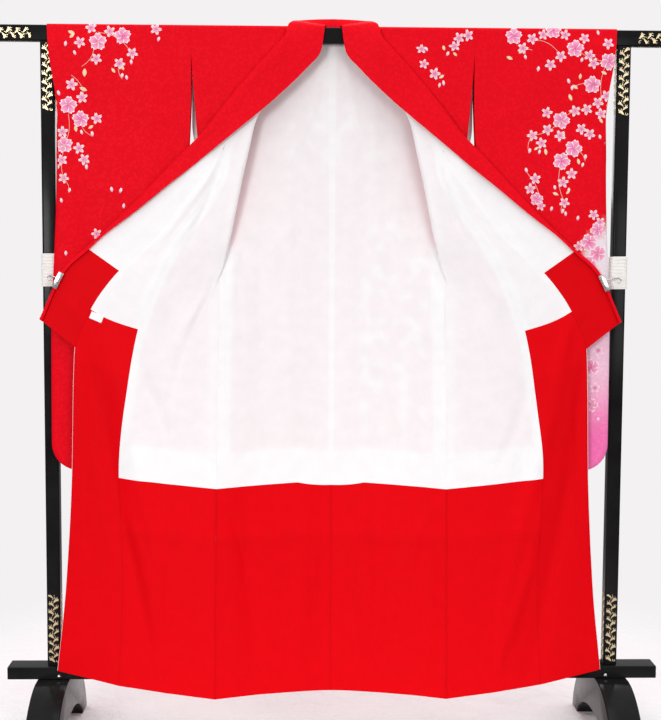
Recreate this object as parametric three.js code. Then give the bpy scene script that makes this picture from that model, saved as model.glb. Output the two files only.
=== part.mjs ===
// Furisode hung open on a lacquered kimono stand.
// Millimetres, +Z up, the front of the stand faces -Y, origin on the floor under its middle.
import * as THREE from "three";

// ---- driving dimensions ----------------------------------------------------------------

const STAND = {
  postX: 680, postWidth: 33, postDepth: 34, postRound: 5,
  barLength: 1680, barDepth: 24, barHeight: 38, barTop: 1720, barRound: 4,
  railLength: 1582, railDepth: 60, railHeight: 30, railTop: 185, railRound: 3,
  footWidth: 78, footReach: 228, footPad: 58,
  seat: 0.3,
};
const WRAP = { top: 1187, bottom: 1105, turns: 10, cord: 2.4 };
const CLIP = { length: 40, reach: 13, wall: 1.6, gap: 11.4, x: 652, y: -43.4, z: 1126, lean: -27 };
const HOOK = { wire: 1.3, rise: 7, tuck: 0.4, past: 4 };
const CATCH = { z: 884, width: 7, height: 36, depth: 14 };
const STUD = { x: 666, z: 163, radius: 5, height: 4 };

const CLOTH = {
  centreX: -9,        // the furisode hangs this far to the left of the stand's middle
  outer: 1.5,         // outer cloth thickness
  lining: 1.0,        // lining thickness
  apart: 0.3,         // between cloth and lining, and between pieces at a seam
  overBar: 1.6,       // middle surface above the bar, between lining and outer cloth
  shoulderHalf: 334,  // centre back to sleeve seam
  neckHalf: 80,       // centre back to the collar seam on the shoulder
  seamLift: 3,        // the front curls up by this much where the collar turns back over it
  neckDrop: 34,       // back neckline below the shoulder
  neckLift: 2,        // the back stands off the bar by this much beside the neck
  okumiTip: 300,      // where the okumi's pointed upper end starts
  frontOpens: 600,    // below this the front lies open, its lining outward from the side seam on
  okumiRed: 646,      // where the okumi's red lining starts at the collar seam
  okumiRedInner: 730, // and where it starts at the front
  hemLining: 1090,    // where the white lining meets the hem lining
  collarWhite: 560,   // where the white collar lining meets the red collar end
  collarFoot: 740,    // lower end of the collar
  length: 1600,       // shoulder to hem
};
const SLEEVE = { cuff: 225, drop: 1062, corner: 62, stations: 7 };
const LABEL = { width: 31, height: 17, thick: 0.8, fromSeam: 4, fromWhite: 3 };

// ---- the seam lines of one half, x outward from centre back ------------------------------
// Each row: down = cloth length below the shoulder, then the point of the seam line there.

const table = (names, rows) => {
  const keys = names.split(" ");
  return rows.map((row) => Object.fromEntries(row.map((value, i) => [keys[i], value])));
};

const CENTRE_BACK = table("down x y z", [
  [34, 0, 21, 1699], [110, 0, 18, 1624], [300, 0, 16, 1433], [560, 0, 10, 1173], [860, 0, -6, 873],
  [1090, 0, -18, 643], [1350, 0, -33, 383], [1600, 0, -46, 133],
]);
const BACK_SIDE = table("down x y z", [
  [0, 334, 13.6, 1716], [60, 334, 13.6, 1673], [240, 334, 12, 1493], [330, 316, 3, 1404],
  [385, 300, -5, 1350], [430, 288, -11, 1305], [500, 274, -24, 1234], [560, 266, -35, 1163],
  [640, 266, -44, 1085], [740, 268, -52, 985], [860, 271, -60, 865], [1090, 273, -77, 632],
  [1350, 274, -96, 380], [1600, 274.5, -115, 134],
]);
const FRONT_SIDE = table("down x y z", [
  [0, 334, -13.6, 1716], [60, 334, -13.6, 1673], [240, 322, -13, 1490], [330, 313, -9, 1404],
  [385, 300, -5, 1350], [430, 288, -11, 1305], [500, 274, -24, 1234], [560, 266, -35, 1163],
  [640, 266, -44, 1085], [740, 268, -52, 985], [860, 271, -60, 865], [1090, 273, -77, 632],
  [1350, 274, -96, 380], [1600, 274.5, -115, 134],
]);
const TURN = table("down x y z", [
  [0, 84, -13.6, 1716], [60, 92, -15, 1672], [110, 108, -17, 1626], [165, 148, -20, 1565],
  [240, 184, -23, 1494], [300, 197, -26, 1436], [385, 216, -31, 1350], [430, 226, -34, 1300],
  [500, 241, -38, 1226], [560, 258, -41, 1158], [640, 290, -47, 1083], [740, 325, -55, 990],
  [860, 362, -62, 873], [1090, 385, -74, 643], [1350, 386, -89, 388], [1600, 392, -104, 146],
]);
const OKUMI_SEAM = table("down x y z", [
  [0, 80, -13.6, 1716], [60, 88, -15, 1672], [110, 104, -18, 1627], [165, 164, -25, 1565],
  [240, 227, -31, 1492], [300, 258, -36, 1432], [345, 266, -41, 1378], [385, 278, -43, 1348],
  [430, 308, -46, 1290], [500, 352, -49, 1234], [560, 396, -52, 1160], [640, 431, -54, 1085],
  [740, 460, -55, 1000], [860, 481, -58, 885], [1090, 505, -64, 656], [1350, 496, -76, 404],
  [1600, 505, -88, 159],
]);
const COLLAR_SEAM = table("down x y z", [
  [0, 80, -13.6, 1716], [60, 88, -15, 1672], [110, 104, -18, 1627], [165, 164, -25, 1565],
  [240, 227, -31, 1492], [300, 259, -36, 1431], [345, 308, -40, 1364], [385, 353, -42, 1307],
  [430, 412, -45, 1229], [500, 470, -47, 1172], [560, 502, -48, 1146], [640, 566, -49, 1061],
  [740, 607, -50, 966], [860, 611, -51, 880], [1090, 617, -52, 650], [1350, 633, -54, 392],
  [1600, 655, -57, 186],
]);
const COLLAR_EDGE = table("down x y z", [
  [0, 94, -2, 1735], [16.8, 104, -19, 1726], [60, 113, -29, 1697], [110, 134, -31, 1673],
  [165, 197, -31, 1605], [240, 258, -35, 1531], [300, 300, -37, 1477], [345, 352, -39, 1423],
  [385, 404, -39, 1370], [430, 470, -40, 1301], [500, 542, -41, 1234], [560, 579, -41, 1200],
  [640, 633, -41, 1151], [740, 690, -46, 1031],
]);
const COLLAR_FREE = table("down x y z", [
  [0, 19, -4, 1725.5], [16.8, 20, -17.5, 1720], [60, 29, -20, 1664], [110, 64, -27, 1621],
  [165, 146, -34, 1543], [240, 219, -42, 1482], [300, 269, -45, 1441], [345, 326, -46, 1394],
  [385, 385, -47, 1348], [430, 459, -47, 1288], [500, 537, -46, 1229], [560, 574, -45.5, 1195],
  [640, 627, -46, 1146], [740, 684, -51, 1027],
]);
// The collar behind the neck: x on the neckline, then its upper fold and its free edge.
const NECK = table("x foldX foldY foldZ freeX freeY freeZ", [
  [0, 0, 25, 1744, 0, 15.4, 1702], [30, 34, 24, 1743, 9, 15.4, 1709],
  [57, 66, 17, 1740, 16, 13, 1724], [80, 94, -2, 1735, 19, -4, 1725.5],
]);
const NECK_STATIONS = [0, 30, 48, 57, 64, 72];
// The sleeve bag: y of its front and back layer at the body side and at the outer edge.
const SLEEVE_DEPTH = table("down innerFront outerFront innerBack outerBack", [
  [60, -13.6, -20.5, 13.6, 20.5], [225, -13.8, -22, 12.4, 20], [250, -14.5, -22.5, 11.5, 8],
  [330, -19, -25.5, 9, -17], [430, -23, -28, 6, -21.5], [700, -27, -30, 1, -23], [1062, -28, -30, -4, -24],
]);
const SLEEVE_OUTLINE = table("down inner outer", [
  [0, 334, 673], [80, 334, 667], [170, 334, 653], [225, 336, 648], [310, 340, 648], [410, 341, 650],
  [550, 341, 656], [740, 341, 665], [1062, 341, 667],
]);

const FRONT_ROWS = [
  0, 8, 12.4, 16.8, 60, 110, 165, 240, 300, 345, 385, 430, 500, 560, 600, 640, 740, 860, 1090, 1350, 1600,
];
const BACK_ROWS = [
  0, 8, 12.4, 16.8, 60, 165, 300, 385, 430, 500, 560, 600, 640, 740, 860, 1090, 1350, 1600,
];
const BACK_COLUMNS = NECK_STATIONS.concat(80, 160, 245, 324, 334).map((x) => x / CLOTH.shoulderHalf);
const SLEEVE_ROWS = [0, 8, 12.4, 16.8, 60, 140, 225, 250, 330, 430, 600, 800, 1000];

// ---- small helpers ----------------------------------------------------------------------

const V = (x, y, z) => new THREE.Vector3(x, y, z);
const mix = (a, b, t) => a + (b - a) * t;
const between = (a, b, t) => a.clone().lerp(b, t);
const smooth = (a, b, value) => THREE.MathUtils.smoothstep(value, a, b);

// Cubic through a table's rows without overshoot, for one named column.
function column(rows, key, name) {
  const slopes = rows.slice(1).map((row, i) => (row[name] - rows[i][name]) / (row[key] - rows[i][key]));
  const tangent = (i) => {
    if (i === 0) return slopes[0];
    if (i === rows.length - 1) return slopes[i - 1];
    const [before, after] = [slopes[i - 1], slopes[i]];
    return before * after <= 0 ? 0 : (2 * before * after) / (before + after);
  };
  return (value) => {
    const last = rows.length - 2;
    let i = 0;
    while (i < last && value > rows[i + 1][key]) i += 1;
    const span = rows[i + 1][key] - rows[i][key];
    const t = THREE.MathUtils.clamp((value - rows[i][key]) / span, 0, 1);
    const [t2, t3] = [t * t, t * t * t];
    return (2 * t3 - 3 * t2 + 1) * rows[i][name] + (t3 - 2 * t2 + t) * span * tangent(i)
      + (3 * t2 - 2 * t3) * rows[i + 1][name] + (t3 - t2) * span * tangent(i + 1);
  };
}

// A seam line as a function of the cloth length below the shoulder.
function seamLine(rows) {
  const [x, y, z] = ["x", "y", "z"].map((name) => column(rows, "down", name));
  return (down) => V(x(down), y(down), z(down));
}

// Height and depth of the middle surface where it bends over the bar.
const BEND = STAND.barRound + CLOTH.overBar;
const FLAT = STAND.barDepth / 2 - STAND.barRound;
const SHOULDER_Z = STAND.barTop + CLOTH.overBar;
const OVER_BAR = FLAT + BEND * Math.PI / 2;
function overBar(down) {
  const angle = (down - FLAT) / BEND;
  if (down <= FLAT) return { depth: down, z: SHOULDER_Z };
  if (down < OVER_BAR) {
    return { depth: FLAT + BEND * Math.sin(angle), z: SHOULDER_Z - BEND * (1 - Math.cos(angle)) };
  }
  return { depth: FLAT + BEND, z: SHOULDER_Z - BEND - (down - OVER_BAR) };
}

// Away from the bar, at a cloth length below the top of the shoulder.
function awayFromBar(down, facing) {
  const angle = THREE.MathUtils.clamp((down - FLAT) / BEND, 0, Math.PI / 2);
  return V(0, facing * Math.sin(angle), Math.cos(angle));
}

// A body line near the shoulder follows the bar, in front of it or behind, lifted off by lift.
function hung(line, facing, lift = 0) {
  return (down) => {
    const point = line(down);
    const bend = overBar(down);
    const hold = 1 - smooth(OVER_BAR, 58, down);
    point.y = mix(point.y, facing * bend.depth, hold);
    point.z = mix(point.z, bend.z, hold);
    return point.addScaledVector(awayFromBar(down, facing), lift * curl(down));
  };
}

// Near the neck the front curls up to meet the collar; further down it no longer does.
function curl(down) {
  return 1 - smooth(110, 165, down);
}

// ---- the middle surface of the garment ----------------------------------------------------

const centreBack = seamLine(CENTRE_BACK);
const backSide = hung(seamLine(BACK_SIDE), 1);
const frontSide = hung(seamLine(FRONT_SIDE), -1);
const turn = hung(seamLine(TURN), -1);
const okumiSeam = hung(seamLine(OKUMI_SEAM), -1, CLOTH.seamLift);
const collarSeam = hung(seamLine(COLLAR_SEAM), -1, CLOTH.seamLift);
const collarEdge = seamLine(COLLAR_EDGE);
const collarFree = seamLine(COLLAR_FREE);

// Where the back starts below the shoulder, at a distance x from centre back.
const neckline = (x) => CLOTH.neckDrop * Math.max(0, 1 - (x / CLOTH.neckHalf) ** 2);

function backPoint(u, down) {
  const side = backSide(Math.max(down, OVER_BAR));
  const start = neckline(u * side.x);
  const below = start + down * (1 - start / CLOTH.length);
  const centre = centreBack(Math.max(below, CLOTH.neckDrop));
  const edge = backSide(below);
  const bend = overBar(below);
  const bow = u ** 1.5;
  const x = mix(0, edge.x, u);
  if (below < CLOTH.neckDrop) {
    const push = 7.4 * Math.max(0, 1 - x / CLOTH.neckHalf) * smooth(0, CLOTH.neckDrop, below);
    const beside = smooth(40, 64, x) * (1 - smooth(CLOTH.neckHalf, 110, x)) * smooth(0, 8, below);
    const lift = awayFromBar(below, 1).multiplyScalar(CLOTH.neckLift * beside);
    return V(x, bend.depth + push, bend.z).add(lift);
  }
  const near = 1 - smooth(0, CLOTH.neckHalf * 1.6, x);
  const high = 1 - smooth(CLOTH.neckDrop, 300, below);
  const hanging = mix(centre.y, edge.y, bow);
  const shoulder = mix(bend.depth, centre.y, near);
  return V(x, mix(hanging, shoulder, high), mix(centre.z, edge.z, u));
}

// The front goes from the side edge towards the middle, turns, and comes back lining outward.
function frontSection(down) {
  const [side, edge, seam] = [frontSide(down), turn(down), okumiSeam(down)];
  const folded = smooth(110, 240, down) * (1 - smooth(500, 600, down));
  const rear = V(edge.x + 7, mix(side.y, edge.y, 0.55), edge.z);
  const fore = V(edge.x + 7, mix(seam.y, edge.y, 0.35), edge.z);
  const rearFlat = between(side, edge, 0.82);
  const foreFlat = between(edge, seam, 0.2);
  const before = between(rearFlat, rear, folded);
  const after = between(foreFlat, fore, folded);
  return [
    side, between(side, before, 0.33), between(side, before, 0.67), before, edge, after,
    between(after, seam, 0.5), seam,
  ];
}
const TURN_COLUMN = 4;

function okumiSection(down) {
  const [seam, edge] = [okumiSeam(down), collarSeam(down)];
  return [seam, between(seam, edge, 1 / 3), between(seam, edge, 2 / 3), edge];
}

// The collar goes from its seam out to its fold, and its free half comes back over it.
function collarSection(seam, fold, free, along, heel) {
  const roll = 2.2;
  const out = fold.clone().sub(seam).normalize();
  const over = out.clone().cross(along).normalize();
  if (over.dot(V(0, -1, 0.6)) < 0) over.negate();
  const centre = fold.clone().addScaledVector(out, -roll);
  const under = centre.clone().addScaledVector(over, -roll);
  const above = centre.clone().addScaledVector(over, roll);
  const start = between(seam, under, 0.2).lerp(seam.clone().add(heel), Math.min(1, heel.length()));
  return [seam, start, between(start, under, 0.5), under, fold, above, between(above, free, 0.5), free];
}
const UNDER_COLUMN = 3;

// ---- from surfaces to closed cloth walls ---------------------------------------------------

// Normals of a grid of points, pointing to the outer side of the cloth.
function normals(grid) {
  return grid.map((row, i) => row.map((point, j) => {
    const down = grid[Math.min(i + 1, grid.length - 1)][j].clone().sub(grid[Math.max(i - 1, 0)][j]);
    const across = row[Math.min(j + 1, row.length - 1)].clone().sub(row[Math.max(j - 1, 0)]);
    return across.cross(down).normalize();
  }));
}

// A grid's rows and columns with its cut edges drawn in by half a seam gap.
function trimmed(grid, trims) {
  const rows = grid.length - 1;
  const columns = grid[0].length - 1;
  const drawn = (from, to, gap) => between(from, to, Math.min(0.95, gap / from.distanceTo(to)));
  return grid.map((row, i) => row.map((point, j) => {
    let p = point;
    if (j === 0 && trims.start) p = drawn(point, row[1], trims.start);
    if (j === columns && trims.end) p = drawn(point, row[columns - 1], trims.ends?.[i] ?? trims.end);
    if (i === 0 && trims.top) p = p.clone().add(drawn(point, grid[1][j], trims.top)).sub(point);
    if (i === rows && trims.bottom) {
      p = p.clone().add(drawn(point, grid[rows - 1][j], trims.bottom)).sub(point);
    }
    return p;
  }));
}

function geometryOf(positions, triangles) {
  const geometry = new THREE.BufferGeometry();
  geometry.setAttribute("position", new THREE.Float32BufferAttribute(positions, 3));
  geometry.setIndex(triangles);
  return geometry;
}

// Turns faces outward when the solid's signed volume is negative.
function facingOut(positions, triangles) {
  const corner = (i) => V(positions[3 * i], positions[3 * i + 1], positions[3 * i + 2]);
  let volume = 0;
  for (let t = 0; t < triangles.length; t += 3) {
    const [a, b, c] = [0, 1, 2].map((k) => corner(triangles[t + k]));
    volume += a.dot(b.cross(c));
  }
  const order = volume < 0 ? [0, 2, 1] : [0, 1, 2];
  const turned = [];
  for (let t = 0; t < triangles.length; t += 3) order.forEach((k) => turned.push(triangles[t + k]));
  return geometryOf(positions, turned);
}

// A closed wall between two offsets of a grid, mirrored to the left or right half.
function wall(grid, directions, from, to, side) {
  const rows = grid.length;
  const columns = grid[0].length;
  const positions = [];
  for (const offset of [from, to]) {
    for (let i = 0; i < rows; i += 1) {
      for (let j = 0; j < columns; j += 1) {
        const p = grid[i][j].clone().addScaledVector(directions[i][j], offset);
        positions.push(side * p.x + CLOTH.centreX, p.y, p.z);
      }
    }
  }
  const at = (layer, i, j) => layer * rows * columns + i * columns + j;
  const triangles = [];
  const quad = (a, b, c, d) => triangles.push(a, b, c, a, c, d);
  for (let i = 0; i < rows - 1; i += 1) {
    for (let j = 0; j < columns - 1; j += 1) {
      quad(at(0, i, j), at(0, i + 1, j), at(0, i + 1, j + 1), at(0, i, j + 1));
      quad(at(1, i, j), at(1, i, j + 1), at(1, i + 1, j + 1), at(1, i + 1, j));
    }
    quad(at(0, i, 0), at(1, i, 0), at(1, i + 1, 0), at(0, i + 1, 0));
    quad(at(0, i, columns - 1), at(0, i + 1, columns - 1), at(1, i + 1, columns - 1), at(1, i, columns - 1));
  }
  for (let j = 0; j < columns - 1; j += 1) {
    quad(at(0, 0, j), at(0, 0, j + 1), at(1, 0, j + 1), at(1, 0, j));
    quad(at(0, rows - 1, j), at(1, rows - 1, j), at(1, rows - 1, j + 1), at(0, rows - 1, j + 1));
  }
  return facingOut(positions, triangles);
}

const OUTER = [CLOTH.apart / 2, CLOTH.apart / 2 + CLOTH.outer];
const LINING = [-CLOTH.apart / 2, -CLOTH.apart / 2 - CLOTH.lining];
const SEAM = CLOTH.apart / 2;

// ---- the half grids, shared by the outer cloth and the lining -------------------------------

const backGrid = BACK_ROWS.map((down) => BACK_COLUMNS.map((u) => backPoint(u, down)));
const backOut = normals(backGrid).map((row) => row.map((n, j) => (j ? n : n.setX(0).normalize())));
const frontGrid = FRONT_ROWS.map(frontSection);
const okumiGrid = FRONT_ROWS.map(okumiSection);
const frontColumns = frontGrid[0].length;

const neckAt = (name, x) => V(...["X", "Y", "Z"].map((axis) => column(NECK, "x", name + axis)(x)));
const neckStations = NECK_STATIONS.map((x) => ({
  seam: backPoint(x / CLOTH.shoulderHalf, 0),
  fold: neckAt("fold", x),
  free: neckAt("free", x),
  heel: V(0, 0, 0),
}));
// The collar first runs beside the curled-up front, one lift away from it, before it turns out.
const heelAt = (down) => V(CLOTH.seamLift, 0, 0)
  .addScaledVector(awayFromBar(down, -1), CLOTH.seamLift).multiplyScalar(curl(down));
const collarRows = FRONT_ROWS.filter((down) => down <= CLOTH.collarFoot);
const collarStations = neckStations.concat(collarRows.map((down) => ({
  seam: collarSeam(down),
  fold: collarEdge(down),
  free: collarFree(down),
  heel: heelAt(down),
})));
const collarGrid = collarStations.map(({ seam, fold, free, heel }, i) => {
  const next = collarStations[Math.min(i + 1, collarStations.length - 1)].seam;
  const previous = collarStations[Math.max(i - 1, 0)].seam;
  const along = i ? next.clone().sub(previous) : V(1, 0, 0);
  return collarSection(seam, fold, free, along, heel);
});
const collarOut = normals(collarGrid);
collarOut[0].forEach((n) => n.setX(0).normalize());

// One set of normals runs across front, okumi and collar, so that their seams meet.
const frontOut = normals(frontGrid);
const okumiOut = normals(okumiGrid);
const KENSAKI = FRONT_ROWS.indexOf(CLOTH.okumiTip);
const neckRows = NECK_STATIONS.length;
const meet = (a, b) => {
  const shared = a.clone().add(b).normalize();
  a.copy(shared);
  b.copy(shared);
};
NECK_STATIONS.forEach((x, j) => meet(backOut[0][j], collarOut[j][0]));
// Back and front meet along the top of the bar, where both face straight up.
backOut[0].slice(neckRows).forEach((n) => n.set(0, 0, 1));
frontOut[0].slice(0, TURN_COLUMN + 1).forEach((n) => n.set(0, 0, 1));
FRONT_ROWS.forEach((down, i) => {
  if (i >= KENSAKI) meet(frontOut[i][frontColumns - 1], okumiOut[i][0]);
  if (down <= CLOTH.collarFoot) {
    const inner = i >= KENSAKI ? okumiOut[i][3] : frontOut[i][frontColumns - 1];
    meet(inner, collarOut[neckRows + i][0]);
  }
  if (down >= CLOTH.collarWhite) {
    meet(backOut[BACK_ROWS.indexOf(down)][BACK_COLUMNS.length - 1], frontOut[i][0]);
  }
});

// ---- materials ----------------------------------------------------------------------------

const COLOURS = {
  crimson: 0xd8101f, hemRed: 0xf20a28, white: 0xf6f2f4, lacquer: 0x0b0a0c, cord: 0xefece2,
  steel: 0xc4c6c8, paper: 0xfbfbfb,
};
function finish(colour, roughness = 0.7, metalness = 0) {
  return new THREE.MeshStandardMaterial({ color: COLOURS[colour], roughness, metalness });
}

const group = new THREE.Group();
group.name = "furisode_on_kimono_stand";
function add(name, geometry, material, parent = group) {
  const mesh = new THREE.Mesh(geometry, material);
  mesh.name = name;
  parent.add(mesh);
  return mesh;
}

// ---- garment pieces -------------------------------------------------------------------------

// Cuts a piece out of a grid: rows and columns are inclusive ranges.
function piece(grid, out, rows, columns, trims, layer, side) {
  const pick = (cells) => cells.slice(rows[0], rows[1] + 1).map((r) => r.slice(columns[0], columns[1] + 1));
  return wall(trimmed(pick(grid), trims), pick(out), layer[0], layer[1], side);
}

const EVERY_SEAM = { start: SEAM, end: SEAM, top: SEAM, bottom: SEAM };

function backPieces(name, side) {
  const hemRow = BACK_ROWS.indexOf(CLOTH.hemLining);
  const foot = BACK_ROWS.length - 1;
  const edge = BACK_COLUMNS.length - 1;
  // Behind the turned-back front the lining stops short of the side seam.
  const ends = BACK_ROWS.map((down) => (down < CLOTH.frontOpens ? 9 : SEAM));
  const inside = { ...EVERY_SEAM, ends };
  const body = { start: SEAM, end: SEAM, top: SEAM };
  const put = (label, rows, trims, layer, colour) => {
    add(`${label}_${name}`, piece(backGrid, backOut, rows, [0, edge], trims, layer, side), finish(colour));
  };
  put("back", [0, foot], body, OUTER, "crimson");
  put("back_lining", [0, hemRow], inside, LINING, "white");
  put("back_hem_lining", [hemRow, foot], { ...EVERY_SEAM, bottom: 0 }, LINING, "hemRed");
}

function frontPieces(name, side) {
  const hemRow = FRONT_ROWS.indexOf(CLOTH.hemLining);
  const whiteFrom = FRONT_ROWS.indexOf(165);
  const openRow = FRONT_ROWS.indexOf(CLOTH.frontOpens);
  const foot = FRONT_ROWS.length - 1;
  const seam = frontColumns - 1;
  const put = (label, grid, out, rows, columns, trims, layer, colour) => {
    add(`${label}_${name}`, piece(grid, out, rows, columns, trims, layer, side), finish(colour));
  };
  const open = { start: SEAM, end: SEAM, top: SEAM };
  put("front", frontGrid, frontOut, [0, foot], [0, seam], open, OUTER, "crimson");
  put("front_turned_lining", frontGrid, frontOut, [whiteFrom, openRow], [TURN_COLUMN, seam],
    EVERY_SEAM, LINING, "white");
  put("front_lining", frontGrid, frontOut, [openRow, hemRow], [0, seam], EVERY_SEAM, LINING, "white");
  put("front_hem_lining", frontGrid, frontOut, [hemRow, foot], [0, seam],
    { ...EVERY_SEAM, bottom: 0 }, LINING, "hemRed");
  put("okumi", okumiGrid, okumiOut, [KENSAKI, foot], [0, 3], open, OUTER, "crimson");
  put("okumi_lining", aboveSlant(okumiGrid), aboveSlant(okumiOut), [KENSAKI, SLANT_ROW + 1], [0, 3],
    EVERY_SEAM, LINING, "white");
  put("okumi_hem_lining", belowSlant(okumiGrid), belowSlant(okumiOut), [0, foot - SLANT_ROW], [0, 3],
    { ...EVERY_SEAM, bottom: 0 }, LINING, "hemRed");
}

// The okumi's white and red linings meet along a slanting seam, between two of its rows.
const SLANT_ROW = FRONT_ROWS.indexOf(CLOTH.collarFoot) - 1;
function slant(cells) {
  const [above, below] = [FRONT_ROWS[SLANT_ROW], FRONT_ROWS[SLANT_ROW + 1]];
  return cells[SLANT_ROW].map((cell, j, row) => {
    const down = mix(CLOTH.okumiRedInner, CLOTH.okumiRed, j / (row.length - 1));
    return between(cell, cells[SLANT_ROW + 1][j], (down - above) / (below - above));
  });
}
const aboveSlant = (cells) => [...cells.slice(0, SLANT_ROW + 1), slant(cells)];
const belowSlant = (cells) => [slant(cells), ...cells.slice(SLANT_ROW + 1)];

function collarPieces(name, side) {
  const last = collarGrid.length - 1;
  const white = neckRows + FRONT_ROWS.indexOf(CLOTH.collarWhite);
  const whiteFrom = neckRows + FRONT_ROWS.indexOf(240);
  const free = collarGrid[0].length - 1;
  const seamOnly = { start: SEAM, top: SEAM };
  add(`collar_${name}`, piece(collarGrid, collarOut, [0, last], [0, free], seamOnly, OUTER, side),
    finish("crimson"));
  add(`collar_lining_${name}`,
    piece(collarGrid, collarOut, [whiteFrom, white], [0, UNDER_COLUMN],
      { ...EVERY_SEAM, end: 1 }, LINING, side),
    finish("white"));
  add(`collar_end_${name}`,
    piece(collarGrid, collarOut, [white, last], [0, UNDER_COLUMN],
      { ...EVERY_SEAM, end: 1, bottom: 0 }, LINING, side),
    finish("hemRed"));
}

// ---- sleeve: a flat bag, open at the body side and at the cuff ------------------------------

const sleeveDepth = Object.fromEntries(["innerFront", "outerFront", "innerBack", "outerBack"]
  .map((name) => [name, column(SLEEVE_DEPTH, "down", name)]));
const sleeveInner = column(SLEEVE_OUTLINE, "down", "inner");
const sleeveOuter = column(SLEEVE_OUTLINE, "down", "outer");

// A point of one layer; inset draws it in from the outer edge, the foot and its own face.
function sleevePoint(u, down, facing, inset) {
  const round = SLEEVE.corner;
  const foot = SLEEVE.drop - round;
  const lower = Math.max(0, down - foot);
  const pull = round - Math.sqrt(Math.max(0, round ** 2 - Math.min(lower, round) ** 2));
  const inner = sleeveInner(down) + CLOTH.apart / 2;
  const outer = sleeveOuter(down) - inset - pull;
  const x = mix(inner, outer, u);
  const bend = overBar(down);
  const names = facing < 0 ? ["innerFront", "outerFront"] : ["innerBack", "outerBack"];
  const hanging = mix(sleeveDepth[names[0]](down), sleeveDepth[names[1]](down), u ** 1.4);
  const hold = 1 - smooth(OVER_BAR, 58, down);
  const level = bend.depth + CLOTH.apart / 2;
  const y = mix(hanging + facing * CLOTH.apart / 2, facing * level, hold);
  const step = CLOTH.outer - inset;
  const raise = THREE.MathUtils.clamp(1 - down / OVER_BAR, 0, 1);
  const out = V(0, facing * (1 - raise), raise).normalize().multiplyScalar(step);
  if (down <= FLAT * 0.5) out.set(0, 0, step);
  const z = bend.z + (raise > 0 ? CLOTH.apart / 2 : 0);
  return V(x, y, z).add(out);
}

function sleeve(side) {
  const stations = Array.from({ length: SLEEVE.stations + 1 }, (_, i) => i / SLEEVE.stations);
  const cornerRows = [20, 38, 52, 60].map((lower) => SLEEVE.drop - SLEEVE.corner + lower);
  const rows = SLEEVE_ROWS.concat(cornerRows);
  const positions = [];
  const index = new Map();
  // Vertices: layer 0 is the outer face, layer 1 the inside; the first row is shared by both sides.
  const vertex = (layer, facing, i, j) => {
    const key = [layer, i === 0 ? 1 : facing, i, j].join();
    if (!index.has(key)) {
      const p = sleevePoint(stations[j], rows[i], i === 0 ? 1 : facing, layer * CLOTH.outer);
      index.set(key, positions.length / 3);
      positions.push(side * p.x + CLOTH.centreX, p.y, p.z);
    }
    return index.get(key);
  };
  const foot = (layer, j) => {
    const key = ["foot", layer, j].join();
    if (!index.has(key)) {
      const front = sleevePoint(stations[j], rows.at(-1), -1, layer * CLOTH.outer);
      const back = sleevePoint(stations[j], rows.at(-1), 1, layer * CLOTH.outer);
      const p = between(front, back, 0.5).add(V(0, 0, layer ? 0 : -CLOTH.outer));
      index.set(key, positions.length / 3);
      positions.push(side * p.x + CLOTH.centreX, p.y, p.z);
    }
    return index.get(key);
  };
  const at = (layer, facing, i, j) => (i === rows.length ? foot(layer, j) : vertex(layer, facing, i, j));
  const triangles = [];
  const quad = (a, b, c, d) => {
    if (a !== b && b !== c && c !== a) triangles.push(a, b, c);
    if (a !== c && c !== d && d !== a) triangles.push(a, c, d);
  };
  const last = stations.length - 1;
  const cuffRow = rows.indexOf(SLEEVE.cuff);
  for (let i = 0; i < rows.length; i += 1) {
    for (const facing of [-1, 1]) {
      const cell = (corners) => {
        const points = corners.map(([layer, di, j]) => at(layer, facing, i + di, j));
        quad(...(facing < 0 ? points : points.reverse()));
      };
      for (let j = 0; j < last; j += 1) {
        cell([[0, 0, j], [0, 0, j + 1], [0, 1, j + 1], [0, 1, j]]);
        cell([[1, 0, j], [1, 1, j], [1, 1, j + 1], [1, 0, j + 1]]);
      }
      cell([[0, 0, 0], [0, 1, 0], [1, 1, 0], [1, 0, 0]]);
      if (i < cuffRow) cell([[0, 0, last], [1, 0, last], [1, 1, last], [0, 1, last]]);
    }
    if (i >= cuffRow) {
      for (const [layer, next, other] of [[0, 0, 1], [1, 1, 0]]) {
        quad(at(layer, -1, i, last), at(layer, next ? -1 : 1, i + next, last),
          at(layer, 1, i + 1, last), at(layer, other ? -1 : 1, i + other, last));
      }
    }
  }
  const cuffEnd = [[0, -1], [1, -1], [1, 1], [0, 1]];
  quad(...cuffEnd.map(([layer, facing]) => at(layer, facing, cuffRow, last)));
  return facingOut(positions, triangles);
}

// ---- stand ------------------------------------------------------------------------------------

// A bar with rounded long edges, running along z from 0 to its length.
function roundedBar(width, depth, length, radius) {
  const [w, d] = [width / 2 - radius, depth / 2 - radius];
  const shape = new THREE.Shape();
  shape.absarc(w, d, radius, 0, Math.PI / 2);
  shape.absarc(-w, d, radius, Math.PI / 2, Math.PI);
  shape.absarc(-w, -d, radius, Math.PI, Math.PI * 1.5);
  shape.absarc(w, -d, radius, Math.PI * 1.5, Math.PI * 2);
  shape.closePath();
  return new THREE.ExtrudeGeometry(shape, { depth: length, bevelEnabled: false, curveSegments: 3 });
}

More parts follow.
